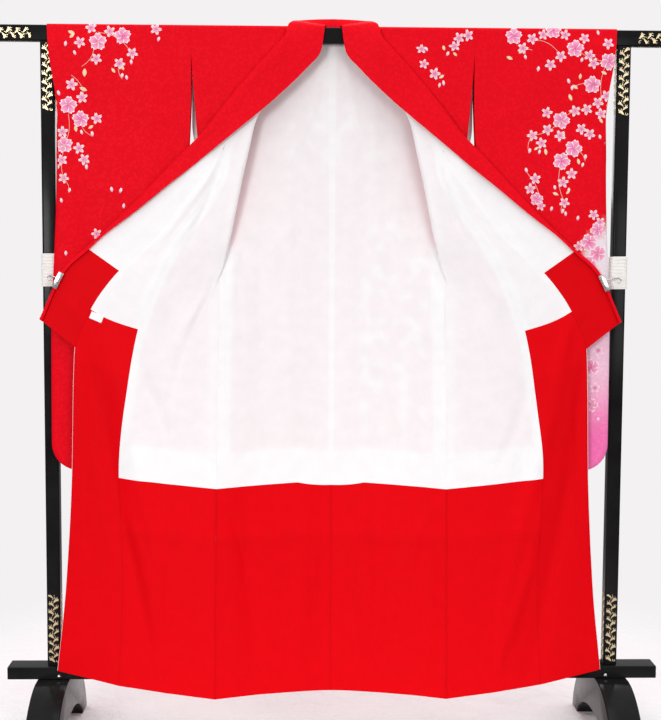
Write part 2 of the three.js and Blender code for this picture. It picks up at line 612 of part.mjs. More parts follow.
// An ornament-free foot: an arch across the stand, flat where it meets the floor.
function foot() {
  const { footReach: reach, footPad: pad, footWidth, railTop, railHeight, seat } = STAND;
  const top = railTop - railHeight - seat;
  const shape = new THREE.Shape();
  shape.moveTo(-reach, 0);
  shape.bezierCurveTo(-reach + 8, 70, -reach + 80, top - 6, -52, top);
  shape.lineTo(52, top);
  shape.bezierCurveTo(reach - 80, top - 6, reach - 8, 70, reach, 0);
  shape.lineTo(reach - pad, 0);
  shape.bezierCurveTo(reach - pad - 30, 46, 70, 64, 0, 64);
  shape.bezierCurveTo(-70, 64, -(reach - pad - 30), 46, -(reach - pad), 0);
  shape.closePath();
  const settings = { depth: footWidth, bevelEnabled: false, curveSegments: 9 };
  const geometry = new THREE.ExtrudeGeometry(shape, settings);
  geometry.translate(0, 0, -footWidth / 2);
  geometry.rotateX(Math.PI / 2);
  return geometry.rotateZ(Math.PI / 2);
}

// Points of a rounded rectangle at height z.
function roundedRing(width, depth, radius, z) {
  const points = [];
  for (const [sx, sy, start] of [[1, 1, 0], [-1, 1, 1], [-1, -1, 2], [1, -1, 3]]) {
    for (const step of [0, 1 / 3, 2 / 3, 1]) {
      const angle = (start + step) * Math.PI / 2;
      const x = sx * (width / 2 - radius) + radius * Math.cos(angle);
      points.push(V(x, sy * (depth / 2 - radius) + radius * Math.sin(angle), z));
    }
  }
  return points;
}

// The cord wound round a post, as one ribbed sleeve.
function cordWrap() {
  const steps = WRAP.turns * 2;
  const pitch = (WRAP.top - WRAP.bottom) / steps;
  const { postWidth, postDepth, postRound, seat } = STAND;
  const ring = (z, out) => roundedRing(postWidth + 2 * out, postDepth + 2 * out, postRound + out, z);
  const rings = [];
  for (let i = 0; i <= steps; i += 1) {
    rings.push(ring(WRAP.bottom + i * pitch, seat + WRAP.cord * (i % 2 ? 1 : 0.6)));
  }
  rings.push(ring(WRAP.top, seat), ring(WRAP.bottom, seat));
  const corners = rings[0].length;
  const positions = rings.flat().flatMap((p) => [p.x, p.y, p.z]);
  const triangles = [];
  rings.forEach((_, i) => {
    const next = (i + 1) % rings.length;
    for (let k = 0; k < corners; k += 1) {
      const m = (k + 1) % corners;
      const [a, b, c, d] = [i * corners + k, i * corners + m, next * corners + m, next * corners + k];
      triangles.push(a, b, c, a, c, d);
    }
  });
  return facingOut(positions, triangles);
}

// A spring clip: a channel pinched over the collar's edge.
function clipChannel() {
  const { gap, wall: thick, reach, length } = CLIP;
  const [h, r] = [gap / 2 + thick, reach];
  const shape = new THREE.Shape();
  shape.moveTo(0, -h);
  shape.lineTo(r, -h);
  shape.lineTo(r, -h + thick);
  shape.lineTo(thick, -h + thick);
  shape.lineTo(thick, h - thick);
  shape.lineTo(r, h - thick);
  shape.lineTo(r, h);
  shape.lineTo(0, h);
  shape.closePath();
  const geometry = new THREE.ExtrudeGeometry(shape, { depth: length, bevelEnabled: false });
  return geometry.translate(0, 0, -length / 2);
}

// The wire hook from the back of the clip, past the sleeve, to the cord wound on the post.
function hook(side) {
  const { wire, rise, tuck, past } = HOOK;
  const back = CLIP.y + CLIP.gap / 2 + CLIP.wall + wire + tuck;
  const face = -STAND.postDepth / 2 - STAND.seat - WRAP.cord - wire - tuck;
  const sleeveEdge = sleeveOuter(SHOULDER_Z - CLIP.z) + CLOTH.outer;
  const from = V(side * (CLIP.x - 4) + CLOTH.centreX, back, CLIP.z + 2);
  const clear = V(side * (sleeveEdge + past) + CLOTH.centreX, back + 1, CLIP.z + rise);
  const to = V(side * (STAND.postX + past), face, CLIP.z + rise / 2);
  const path = new THREE.CatmullRomCurve3([
    from,
    clear,
    between(clear, to, 0.6).add(V(0, -2, rise / 2)),
    to,
    to.clone().add(V(-side * 4, 0, -rise)),
    to.clone().add(V(-side * 10, -1.5, -rise / 2)),
  ]);
  const section = new THREE.Shape();
  section.absarc(0, 0, wire, 0, Math.PI * 2);
  const settings = { extrudePath: path, steps: 14, bevelEnabled: false, curveSegments: 6 };
  return new THREE.ExtrudeGeometry(section, settings);
}

function standPieces() {
  const lacquer = () => finish("lacquer", 0.18);
  const { seat, railTop, railHeight, barTop, barHeight } = STAND;
  const postHeight = barTop - barHeight - railTop - 2 * seat;
  const bar = roundedBar(STAND.barHeight, STAND.barDepth, STAND.barLength, STAND.barRound);
  bar.rotateY(Math.PI / 2);
  add("top_bar", bar, lacquer()).position.set(-STAND.barLength / 2, 0, barTop - barHeight / 2);
  const rail = roundedBar(railHeight, STAND.railDepth, STAND.railLength, STAND.railRound);
  rail.rotateY(Math.PI / 2);
  add("base_rail", rail, lacquer()).position.set(-STAND.railLength / 2, 0, railTop - railHeight / 2);
  for (const [name, side] of [["left", -1], ["right", 1]]) {
    const post = roundedBar(STAND.postWidth, STAND.postDepth, postHeight, STAND.postRound);
    add(`post_${name}`, post, lacquer()).position.set(side * STAND.postX, 0, railTop + seat);
    add(`foot_${name}`, foot(), lacquer()).position.x = side * STAND.postX;
    add(`cord_wrap_${name}`, cordWrap(), finish("cord", 0.8)).position.x = side * STAND.postX;
    const stud = new THREE.CylinderGeometry(STUD.radius, STUD.radius * 0.6, STUD.height, 12);
    const studY = -STAND.railDepth / 2 - seat - STUD.height / 2;
    add(`rail_stud_${name}`, stud, finish("steel", 0.3, 1)).position.set(side * STUD.x, studY, STUD.z);
  }
  const catchShape = new THREE.BoxGeometry(CATCH.width, CATCH.depth, CATCH.height, 1, 1, 1);
  const catchX = STAND.postX - STAND.postWidth / 2 - seat - CATCH.width / 2;
  add("post_catch", catchShape, lacquer()).position.set(catchX, 0, CATCH.z);
}

function clipPieces(name, side) {
  const holder = new THREE.Group();
  holder.position.set(side * CLIP.x + CLOTH.centreX, CLIP.y, CLIP.z);
  holder.rotation.y = side * THREE.MathUtils.degToRad(CLIP.lean);
  group.add(holder);
  const jaw = clipChannel();
  if (side > 0) jaw.rotateZ(Math.PI);
  add(`clip_${name}`, jaw, finish("steel", 0.25, 1), holder);
  add(`hook_${name}`, hook(side), finish("steel", 0.25, 1));
}

// The blank label lies flat on the left okumi, in the corner between the slanting seam and the collar.
function label() {
  const last = okumiGrid[0].length - 1;
  const seam = slant(okumiGrid);
  const along = seam[last - 1].clone().sub(seam[last]).normalize();
  const fall = okumiGrid[SLANT_ROW + 1][last].clone().sub(okumiGrid[SLANT_ROW][last]);
  const out = fall.clone().cross(along).normalize();
  if (out.y < 0) out.negate();
  const down = fall.addScaledVector(along, -fall.dot(along)).normalize();
  const corner = seam[last].clone().addScaledVector(along, LABEL.fromSeam);
  corner.addScaledVector(down, LABEL.fromWhite);
  const cells = [0, LABEL.height].map((drop) => [0, LABEL.width].map((across) => (
    corner.clone().addScaledVector(along, across).addScaledVector(down, drop)
  )));
  const from = LINING[1] - CLOTH.apart;
  const outs = cells.map((row) => row.map(() => out));
  add("label", wall(cells, outs, from, from - LABEL.thick, -1), finish("paper", 0.6));
}

standPieces();
for (const [name, side] of [["left", -1], ["right", 1]]) {
  backPieces(name, side);
  frontPieces(name, side);
  collarPieces(name, side);
  add(`sleeve_${name}`, sleeve(side), finish("crimson"));
  clipPieces(name, side);
}
label();

export default group;
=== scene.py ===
"""Looks of a furisode that hangs opened out on a lacquered kimono stand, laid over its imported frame."""
import math

import bmesh
import bpy
import numpy as np
from mathutils import Matrix, Vector, noise


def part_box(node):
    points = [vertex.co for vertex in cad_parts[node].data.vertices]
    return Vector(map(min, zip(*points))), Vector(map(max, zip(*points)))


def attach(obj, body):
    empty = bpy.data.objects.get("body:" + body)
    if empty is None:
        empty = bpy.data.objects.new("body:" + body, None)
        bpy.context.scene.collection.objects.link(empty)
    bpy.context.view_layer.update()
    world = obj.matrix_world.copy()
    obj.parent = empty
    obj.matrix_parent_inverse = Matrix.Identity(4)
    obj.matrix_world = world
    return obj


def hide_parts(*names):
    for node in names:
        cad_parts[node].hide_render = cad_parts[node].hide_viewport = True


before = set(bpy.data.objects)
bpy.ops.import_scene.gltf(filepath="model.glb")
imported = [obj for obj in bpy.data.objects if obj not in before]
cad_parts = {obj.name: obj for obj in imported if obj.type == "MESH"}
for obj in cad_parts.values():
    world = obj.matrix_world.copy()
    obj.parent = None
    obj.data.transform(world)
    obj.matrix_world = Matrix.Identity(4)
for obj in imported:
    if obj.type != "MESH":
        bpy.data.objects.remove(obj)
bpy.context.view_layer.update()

bl_info = {
    "name": "Furisode on a kimono stand",
    "version": (1, 0, 0),
    "blender": (4, 5, 0),
    "location": "View3D > Sidebar > Furisode",
    "description": "Cloth, blossoms, lacquer and fittings of a furisode hung open on its stand",
    "category": "Object",
}

MM = 0.001
SIDES = {"left": -1, "right": 1}

# ---- the stage and the fittings, in metres ----

CORD_RADIUS = 0.0017
WIRE_RADIUS = 0.0011
COIL_RADIUS, COIL_WIRE = 0.0023, 0.0006
COIL_TURNS, COIL_STEPS = 5, 12
PALE_EDGE_RADIUS = 0.0011
MERGE = 1e-6             # corners closer than this are one
PICTURE_HEIGHT = 720     # pixels, for the lens
FOCAL_PIXELS = 1332      # focal length on that scale
CAMERA_PLACE = (-0.091, -3.2, 1.203)
CAMERA_TURN = (-1.43, 90 - 4.82, 0.32)    # degrees about Z, X and Z again
AIM = (0, 0, 0.95)       # what the lamps look at
LAMPS = {                # place, size and power of each
    "light_left": ((-2.0, -4.2, 1.75), 1.2, 70),
    "light_right": ((2.2, -4.2, 1.45), 1.8, 38),
    "light_above": ((0.2, -1.0, 3.9), 1.8, 20),
    "light_behind": ((0.6, 3.4, 2.6), 2.2, 40),
}
ROOM = (0.896, 0.879, 0.887)
ROOM_LIGHT = (0.28, 1.42)                 # strength of the room's light, from the side and from above
FLOOR_RADIUS = 6
FLOOR_FADE = (0.75, 1.7)                  # the floor fades out between these distances

# ---- sizes of the garment and its bar, in millimetres ----

CENTRE_X = -9            # the furisode hangs this far to the left of the stand's middle
SHOULDER_HALF = 334      # centre back to sleeve seam
NECK_HALF = 80           # centre back to the collar seam on the shoulder
NECK_DROP = 34           # back neckline below the shoulder
NECK_LIFT = 2            # the back stands off the bar by this much beside the neck
SEAM_LIFT = 3            # the front curls up by this much where the collar turns back over it
LENGTH = 1600            # shoulder to hem
OKUMI_TIP = 300          # where the okumi's pointed upper end starts
COLLAR_WHITE = 560       # where the white collar lining meets the red collar end
VENT = 600               # below this the front lies open and shares its side seam with the back
OKUMI_RED = (730, 646)   # where the okumi's red lining starts, at the front and at the collar
COLLAR_FOOT = 740        # lower end of the collar
HEM_LINING = 1090        # where the white lining meets the hem lining
SEAM_GAP = 0.02          # half the gap between pieces that are sewn together
OUTER_AT, LINING_AT = 0.95, -0.6   # the two cloths, either side of the middle surface
HOLD_END = 58            # down to here the cloth follows the bar more and more loosely
FRONT_WHITE_FROM = 165   # where the front's white lining starts, at the turn
COLLAR_WHITE_FROM = 240  # where the collar's white lining starts
SLEEVE = {"cuff": 225, "drop": 1062, "corner": 62, "middle": 0.8}
SLEEVE_OFF = 0.15        # the sleeves stand off the body's middle surface by this much more
BAR = {"depth": 24, "round": 4, "top": 1720, "over": 1.6}
BEND = BAR["round"] + BAR["over"]
FLAT = BAR["depth"] / 2 - BAR["round"]
SHOULDER_Z = BAR["top"] + BAR["over"]
OVER_BAR = FLAT + BEND * math.pi / 2


def table(names, rows):
    """A short table as one array for each named column."""
    return {name: np.array([row[i] for row in rows], float) for i, name in enumerate(names.split())}


# Seam lines of one half, x outward from centre back; down is the cloth length below the shoulder.
CENTRE_BACK = table("down x y z", [
    (34, 0, 21, 1699), (110, 0, 18, 1624), (300, 0, 16, 1433), (560, 0, 10, 1173), (860, 0, -6, 873),
    (1090, 0, -18, 643), (1350, 0, -33, 383), (1600, 0, -46, 133),
])
SIDE_BELOW = [
    (385, 300, -5, 1350), (430, 288, -11, 1305), (500, 274, -24, 1234), (560, 266, -35, 1163),
    (640, 266, -44, 1085), (740, 268, -52, 985), (860, 271, -60, 865), (1090, 273, -77, 632),
    (1350, 274, -96, 380), (1600, 274.5, -115, 134),
]
BACK_SIDE = table("down x y z", [
    (0, 334, 13.6, 1716), (60, 334, 13.6, 1673), (240, 334, 12, 1493), (330, 316, 3, 1404), *SIDE_BELOW,
])
FRONT_SIDE = table("down x y z", [
    (0, 334, -13.6, 1716), (60, 334, -13.6, 1673), (240, 322, -13, 1490), (330, 313, -9, 1404), *SIDE_BELOW,
])
TURN = table("down x y z", [
    (0, 84, -13.6, 1716), (60, 92, -15, 1672), (110, 108, -17, 1626), (165, 148, -20, 1565),
    (240, 184, -23, 1494), (300, 197, -26, 1436), (385, 216, -31, 1350), (430, 226, -34, 1300),
    (500, 241, -38, 1226), (560, 258, -41, 1158), (640, 290, -47, 1083), (740, 325, -55, 990),
    (860, 362, -62, 873), (1090, 385, -74, 643), (1350, 386, -89, 388), (1600, 392, -104, 146),
])
NECK_SEAM = [
    (0, 80, -13.6, 1716), (60, 88, -15, 1672), (110, 104, -18, 1627), (165, 164, -25, 1565),
    (240, 227, -31, 1492),
]
OKUMI_SEAM = table("down x y z", [
    *NECK_SEAM, (300, 258, -36, 1432), (345, 266, -41, 1378), (385, 278, -43, 1348),
    (430, 308, -46, 1290), (500, 352, -49, 1234), (560, 396, -52, 1160), (640, 431, -54, 1085),
    (740, 460, -55, 1000), (860, 481, -58, 885), (1090, 505, -64, 656), (1350, 496, -76, 404),
    (1600, 505, -88, 159),
])
COLLAR_SEAM = table("down x y z", [
    *NECK_SEAM, (300, 259, -36, 1431), (345, 308, -40, 1364), (385, 353, -42, 1307),
    (430, 412, -45, 1229), (500, 470, -47, 1172), (560, 502, -48, 1146), (640, 566, -49, 1061),
    (740, 607, -50, 966), (860, 611, -51, 880), (1090, 617, -52, 650), (1350, 633, -54, 392),
    (1600, 655, -57, 186),
])
COLLAR_EDGE = table("down x y z", [
    (0, 94, -2, 1735), (16.8, 104, -19, 1726), (60, 113, -29, 1697), (110, 134, -31, 1673),
    (165, 197, -31, 1605), (240, 258, -35, 1531), (300, 300, -37, 1477), (345, 352, -39, 1423),
    (385, 404, -39, 1370), (430, 470, -40, 1301), (500, 542, -41, 1234), (560, 579, -41, 1200),
    (640, 633, -41, 1151), (740, 690, -46, 1031),
])
COLLAR_FREE = table("down x y z", [
    (0, 19, -4, 1725.5), (16.8, 20, -17.5, 1720), (60, 29, -20, 1664), (110, 64, -27, 1621),
    (165, 146, -34, 1543), (240, 219, -42, 1482), (300, 269, -45, 1441), (345, 326, -46, 1394),
    (385, 385, -47, 1348), (430, 459, -47, 1288), (500, 537, -46, 1229), (560, 574, -45.5, 1195),
    (640, 627, -46, 1146), (740, 684, -51, 1027),
])
NECK = table("x foldX foldY foldZ freeX freeY freeZ", [
    (0, 0, 25, 1744, 0, 15.4, 1702), (30, 34, 24, 1743, 9, 15.4, 1709),
    (57, 66, 17, 1740, 16, 13, 1724), (80, 94, -2, 1735, 19, -4, 1725.5),
])
SLEEVE_DEPTH = table("down innerFront outerFront innerBack outerBack", [
    (60, -13.6, -20.5, 13.6, 20.5), (225, -13.8, -22, 12.4, 20), (250, -14.5, -22.5, 11.5, 8),
    (330, -19, -25.5, 9, -17), (430, -23, -28, 6, -21.5), (700, -27, -30, 1, -23),
    (1062, -28, -30, -4, -24),
])
SLEEVE_OUTLINE = table("down inner outer", [
    (0, 334, 673), (80, 334, 667), (170, 334, 653), (225, 336, 648), (310, 340, 648), (410, 341, 650),
    (550, 341, 656), (740, 341, 665), (1062, 341, 667),
])

# Main creases of each cloth: which side of the garment, half width, height towards the eye, and the
# run of the crease as points (x outward from centre back, height above the floor).
CREASES = {
    "back": [
        ("both", 16, 2.2, [(96, 1560), (104, 1300), (100, 1000), (92, 700)]),
        ("left", 22, -2.4, [(150, 1480), (165, 1200), (170, 900), (150, 660)]),
        ("right", 20, 2.0, [(60, 1500), (48, 1250), (52, 980), (40, 700)]),
        ("right", 26, -2.2, [(190, 1400), (185, 1150), (205, 900), (215, 680)]),
        ("both", 9, 1.4, [(14, 1690), (40, 1600), (62, 1470)]),
        ("left", 26, 4.6, [(70, 640), (62, 400), (76, 150)]),
        ("left", 28, -5.0, [(205, 640), (190, 380), (170, 150)]),
        ("right", 26, 4.4, [(110, 640), (120, 400), (96, 150)]),
        ("right", 28, -4.6, [(225, 640), (232, 380), (215, 150)]),
        ("both", 5, 1.1, [(4, 516), (130, 505), (268, 514)]),
        ("left", 8, 1.6, [(30, 500), (40, 440), (36, 380)]),
        ("left", 9, -2.2, [(262, 590), (240, 560), (206, 470), (200, 400)]),
        ("right", 10, 2.2, [(250, 600), (214, 540), (190, 440), (196, 340)]),
        ("right", 9, -1.8, [(40, 610), (58, 520), (50, 380), (60, 220)]),
        ("right", 7, -2.4, [(176, 1330), (214, 1220), (243, 1142), (262, 1090)]),
        ("left", 8, 1.8, [(196, 1320), (216, 1230), (236, 1150), (240, 1060)]),
        ("both", 7, 1.4, [(40, 1560), (66, 1480), (100, 1420), (150, 1370)]),
    ],
    "fore": [
        ("left", 9, -3.2, [(252, 1160), (270, 1110), (317, 1027), (364, 907), (372, 850)]),
        ("left", 8, 2.6, [(284, 1150), (300, 1090), (338, 1030), (384, 940)]),
        ("left", 8, -2.6, [(458, 960), (446, 900), (410, 826), (376, 715)]),
        ("left", 7, 2.2, [(240, 1480), (262, 1430), (298, 1354), (367, 1261), (420, 1190)]),
        ("left", 6, -1.8, [(262, 1400), (300, 1300), (352, 1190), (380, 1110)]),
        ("left", 6, 1.6, [(330, 1380), (400, 1290), (470, 1215)]),
        ("right", 9, -3.2, [(256, 1130), (272, 1084), (298, 1000), (317, 931), (322, 860)]),
        ("right", 7, 2.2, [(290, 1260), (316, 1215), (352, 1150), (400, 1085)]),
        ("right", 7, -1.8, [(236, 1440), (268, 1330), (318, 1210), (372, 1130)]),
        ("right", 11, -2.2, [(470, 900), (458, 840), (436, 760), (400, 700)]),
        ("right", 6, 1.7, [(320, 1400), (390, 1330), (470, 1225), (520, 1170)]),
        ("left", 26, 3.0, [(300, 1440), (330, 1330), (330, 1210), (310, 1100)]),
        ("left", 20, -2.2, [(240, 1500), (262, 1380), (300, 1270), (360, 1180)]),
        ("right", 24, 2.8, [(270, 1470), (310, 1360), (370, 1260), (430, 1180)]),
        ("right", 22, -2.4, [(330, 1400), (400, 1290), (440, 1200)]),
        ("left", 18, 2.6, [(330, 1060), (318, 960), (300, 860), (300, 700)]),
        ("right", 18, 2.4, [(350, 1040), (330, 930), (318, 780)]),
        ("left", 22, -4.6, [(585, 1040), (560, 900), (535, 740), (500, 560), (430, 300), (400, 150)]),
        ("left", 24, 4.8, [(520, 980), (470, 720), (410, 430), (350, 170)]),
        ("left", 14, 2.0, [(640, 1090), (600, 1040), (572, 940)]),
        ("right", 22, 4.6, [(560, 1020), (520, 800), (450, 520), (380, 200)]),
        ("right", 22, -4.4, [(600, 900), (570, 640), (520, 380), (480, 180)]),
        ("right", 10, 2.0, [(590, 1060), (560, 1010), (545, 930)]),
        ("both", 5, 1.0, [(290, 516), (400, 528), (590, 520)]),
        ("left", 16, 4.6, [(492, 600), (450, 470), (420, 300), (410, 160)]),
        ("left", 9, -2.4, [(596, 1010), (572, 900), (566, 760), (590, 620)]),
        ("right", 16, 4.8, [(500, 600), (470, 430), (420, 270), (360, 160)]),
        ("right", 9, -2.4, [(604, 960), (588, 820), (596, 660), (600, 520)]),
        ("left", 8, 1.8, [(330, 610), (322, 500), (334, 380), (326, 240)]),
        ("right", 8, -1.8, [(330, 600), (340, 470), (326, 330), (336, 200)]),
    ],
    "band": [
        ("left", 3.2, 1.3, [(92, 1706), (74, 1676), (70, 1650)]),
        ("left", 9, 1.6, [(150, 1640), (250, 1530), (330, 1440)]),
        ("right", 3.4, 1.5, [(60, 1722), (96, 1690), (108, 1650)]),
        ("right", 9, -1.6, [(160, 1630), (260, 1520), (350, 1410)]),
    ],
    "rear": [
        ("left", 7, 1.6, [(112, 1712), (122, 1680), (128, 1650)]),
        ("right", 4, 1.7, [(150, 1716), (172, 1670), (196, 1610)]),
        ("both", 12, 2.0, [(318, 1520), (300, 1470), (290, 1420)]),
    ],
    "sleeve": [
        ("both", 26, 2.4, [(420, 1600), (440, 1300), (430, 1000), (440, 720)]),
        ("left", 30, -2.6, [(560, 1560), (575, 1250), (560, 950), (570, 720)]),
        ("right", 28, -2.4, [(530, 1580), (500, 1280), (520, 980), (500, 720)]),
        ("both", 10, 1.4, [(350, 1480), (380, 1500), (440, 1530)]),
        ("left", 12, 1.3, [(640, 1380), (560, 1340), (480, 1330)]),
    ],
}


# ---- sizes and colours that a user would change ----


def colour_property(name, description, default):
    """A colour that the panel can change."""
    return bpy.props.FloatVectorProperty(
        name=name, description=description, default=default, min=0, max=1, size=3, subtype="COLOR"
    )


class FurisodeSettings(bpy.types.PropertyGroup):
    """Sizes and colours of the garment."""

    cloth: bpy.props.FloatProperty(
        name="Cloth", description="Thickness of the outer silk", default=0.0006, min=0.0002,
        unit="LENGTH", subtype="DISTANCE")
    lining: bpy.props.FloatProperty(
        name="Lining", description="Thickness of the lining silk", default=0.0004, min=0.0002,
        unit="LENGTH", subtype="DISTANCE")
    folds: bpy.props.FloatProperty(
        name="Folds", description="How deep the creases are", default=1.6, min=0)
    unevenness: bpy.props.FloatProperty(
        name="Unevenness", description="Gentle waviness of the silk", default=0.0011, min=0,
        unit="LENGTH", subtype="DISTANCE")
    crimson: colour_property("Crimson", "Outer silk", (0.85, 0.001, 0.011))
    hem_red: colour_property("Hem red", "Red hem lining", (0.78, 0.001, 0.005))
    white: colour_property("White", "White lining where it lies double", (0.955, 0.945, 0.95))
    sheer: colour_property("Sheer white", "White lining over the red cloth", (0.93, 0.88, 0.895))
    petal: colour_property("Petal", "Tips of the petals", (0.93, 0.80, 0.85))
    petal_heart: colour_property("Petal heart", "Middle of the blossoms", (0.80, 0.09, 0.33))
    leaf: colour_property("Leaf", "Young leaves", (0.84, 0.74, 0.46))


class StandSettings(bpy.types.PropertyGroup):
    """Sizes and colours of the stand."""

    edge: bpy.props.FloatProperty(
        name="Edge", description="Rounding of the posts' edges", default=0.005, min=0.001,
        unit="LENGTH", subtype="DISTANCE")
    lacquer: colour_property("Lacquer", "Black lacquer", (0.006, 0.006, 0.007))
    gold: colour_property("Gold", "Sprinkled gold ornament", (0.80, 0.66, 0.40))
    cord: colour_property("Cord", "Cord wound on the posts", (1.0, 0.985, 0.955))
    steel: colour_property("Steel", "Clips and studs", (0.74, 0.74, 0.75))


def garment():
    """The garment's settings."""
    return bpy.context.scene.furisode


def stand():
    """The stand's settings."""
    return bpy.context.scene.kimono_stand


# ---- curves and small helpers ----


def mix(a, b, t):
    """Between a and b."""
    return a + (b - a) * t


def smooth(low, high, value):
    """0 below low, 1 above high, an S curve between."""
    t = np.clip((value - low) / (high - low), 0, 1)
    return t * t * (3 - 2 * t)


def cubic(keys, values):
    """A smooth curve through values without overshoot, as a function of the key."""
    span = np.diff(keys)
    slope = np.diff(values) / span
    tangent = np.empty(len(keys))
    tangent[0], tangent[-1] = slope[0], slope[-1]
    for i in range(1, len(keys) - 1):
        before, after = slope[i - 1], slope[i]
        tangent[i] = 0 if before * after <= 0 else 2 * before * after / (before + after)

    def at(key):
        key = np.clip(key, keys[0], keys[-1])
        i = np.clip(np.searchsorted(keys, key, side="right") - 1, 0, len(keys) - 2)
        t = (key - keys[i]) / span[i]
        rise = (3 * t**2 - 2 * t**3) * (values[i + 1] - values[i])
        start = (t**3 - 2 * t**2 + t) * span[i] * tangent[i]
        end = (t**3 - t**2) * span[i] * tangent[i + 1]
        return values[i] + rise + start + end

    return at


def seam_line(rows):
    """A seam line as a function of the cloth length below the shoulder."""
    parts = [cubic(rows["down"], rows[name]) for name in "xyz"]
    return lambda down: np.stack([part(down) for part in parts], axis=-1)


def spaced(stops, step):
    """Values from stop to stop, each stop kept, no further apart than step."""
    rows = [float(stops[0])]
    for a, b in zip(stops, stops[1:]):
        count = max(1, math.ceil((b - a) / step))
        rows += [a + (b - a) * i / count for i in range(1, count + 1)]
    return np.array(rows)


def over_bar(down):
    """Depth and height of the middle surface where it bends over the bar."""
    angle = np.clip((down - FLAT) / BEND, 0, math.pi / 2)
    depth = np.minimum(down, FLAT) + BEND * np.sin(angle)
    return depth, SHOULDER_Z - BEND * (1 - np.cos(angle)) - np.maximum(0, down - OVER_BAR)


def away_from_bar(down, facing):
    """Direction away from the bar at a cloth length below the top of the shoulder."""
    angle = np.clip((down - FLAT) / BEND, 0, math.pi / 2)
    return np.stack([0 * angle, facing * np.sin(angle), np.cos(angle)], axis=-1)


def curl(down):
    """1 near the neck, where the front curls up to meet the collar, and 0 further down."""
    return 1 - smooth(110, 165, down)


def hung(line, facing, lift=0):
    """A body line that follows the bar near the shoulder, in front of it or behind."""

    def at(down):
        down = np.asarray(down, float)
        point = line(down)
        depth, height = over_bar(down)
        hold = 1 - smooth(OVER_BAR, HOLD_END, down)
        point[..., 1] = mix(point[..., 1], facing * depth, hold)
        point[..., 2] = mix(point[..., 2], height, hold)
        return point + away_from_bar(down, facing) * (lift * curl(down))[..., None]

    return at


centre_back = seam_line(CENTRE_BACK)
back_side = hung(seam_line(BACK_SIDE), 1)
front_side = hung(seam_line(FRONT_SIDE), -1)
turn_line = hung(seam_line(TURN), -1)
okumi_seam = hung(seam_line(OKUMI_SEAM), -1, SEAM_LIFT)
collar_seam = hung(seam_line(COLLAR_SEAM), -1, SEAM_LIFT)
collar_edge = seam_line(COLLAR_EDGE)
collar_free = seam_line(COLLAR_FREE)

ROWS = np.concatenate([
    spaced((0, 18), 2),
    spaced((18, 60), 7)[1:],
    spaced((60, 110, 165, 240, 300, 345, 385, 430, 500, 560, 640, 740, 860, 1090, 1350, 1600), 11)[1:],
])
BACK_COLUMNS = np.concatenate([spaced((0, 4), 2), spaced((4, 80, 324), 8)[1:], [329, 334]]) / SHOULDER_HALF
FRONT_COLUMNS = np.concatenate([[0, 0.05], spaced((0.2, 3), 0.25), spaced((3, 5), 0.2)[1:],
                                spaced((5, 6.9), 0.19)[1:], [7]])
OKUMI_COLUMNS = np.concatenate([[0, 0.02], spaced((0.06, 0.94), 0.06), [0.98, 1]])
COLLAR_COLUMNS = np.concatenate([[0, 0.3], spaced((1, 3), 0.34), spaced((3, 5), 0.25)[1:],
                                 spaced((5, 7), 0.34)[1:]])
NECK_STATIONS = spaced((0, 76), 6)
TURN_COLUMN, UNDER_COLUMN = 4, 3


def row_of(down):
    """Index of a row in ROWS."""
    return int(np.argmin(abs(ROWS - down)))


# ---- the middle surface ----


def neckline(x):
    """Where the back starts below the shoulder, at a distance x from centre back."""
    return NECK_DROP * np.maximum(0, 1 - (x / NECK_HALF) ** 2)


def back_surface(u, down):
    """Points of the half back; u runs from centre back to the side."""
    side = back_side(np.maximum(down, OVER_BAR))
    start = neckline(u * side[..., 0])
    below = start + down * (1 - start / LENGTH)
    centre = centre_back(np.maximum(below, NECK_DROP))
    edge = back_side(below)
    depth, height = over_bar(below)
    x = edge[..., 0] * u
    push = 7.4 * np.maximum(0, 1 - x / NECK_HALF) * smooth(0, NECK_DROP, below)
    beside = smooth(40, 64, x) * (1 - smooth(NECK_HALF, 110, x)) * smooth(0, 8, below)
    top = np.stack([x, depth + push, height], axis=-1)
    top += away_from_bar(below, 1) * (NECK_LIFT * beside)[..., None]
    near = 1 - smooth(0, NECK_HALF * 1.6, x)
    high = 1 - smooth(NECK_DROP, 300, below)
    hanging = mix(centre[..., 1], edge[..., 1], u**1.5)
    shoulder = mix(depth, centre[..., 1], near)
    lower = np.stack([x, mix(hanging, shoulder, high), mix(centre[..., 2], edge[..., 2], u)], axis=-1)
    return mix(top, lower, smooth(OVER_BAR, 60, below)[..., None])


def section(points, columns):
    """Fine points along one section, through its few control points."""
    points = np.asarray(points)
    steps = np.linalg.norm(np.diff(points, axis=0), axis=1) + 1e-6
    length = np.concatenate([[0], np.cumsum(steps)])
    at = np.interp(columns, np.arange(len(points)), length)
    return np.stack([cubic(length, points[:, k])(at) for k in range(3)], axis=1)


def front_section(down):
    """The front goes from the side towards the middle, turns, and comes back lining outward."""
    side, edge, seam = front_side(down), turn_line(down), okumi_seam(down)
    folded = smooth(110, 240, down) * (1 - smooth(500, 600, down))
    rear = np.array([edge[0] + 7, mix(side[1], edge[1], 0.55), edge[2]])
    fore = np.array([edge[0] + 7, mix(seam[1], edge[1], 0.35), edge[2]])
    before = mix(mix(side, edge, 0.82), rear, folded)
    after = mix(mix(edge, seam, 0.2), fore, folded)
    return [side, mix(side, before, 0.33), mix(side, before, 0.67), before, edge, after,
            mix(after, seam, 0.5), seam]


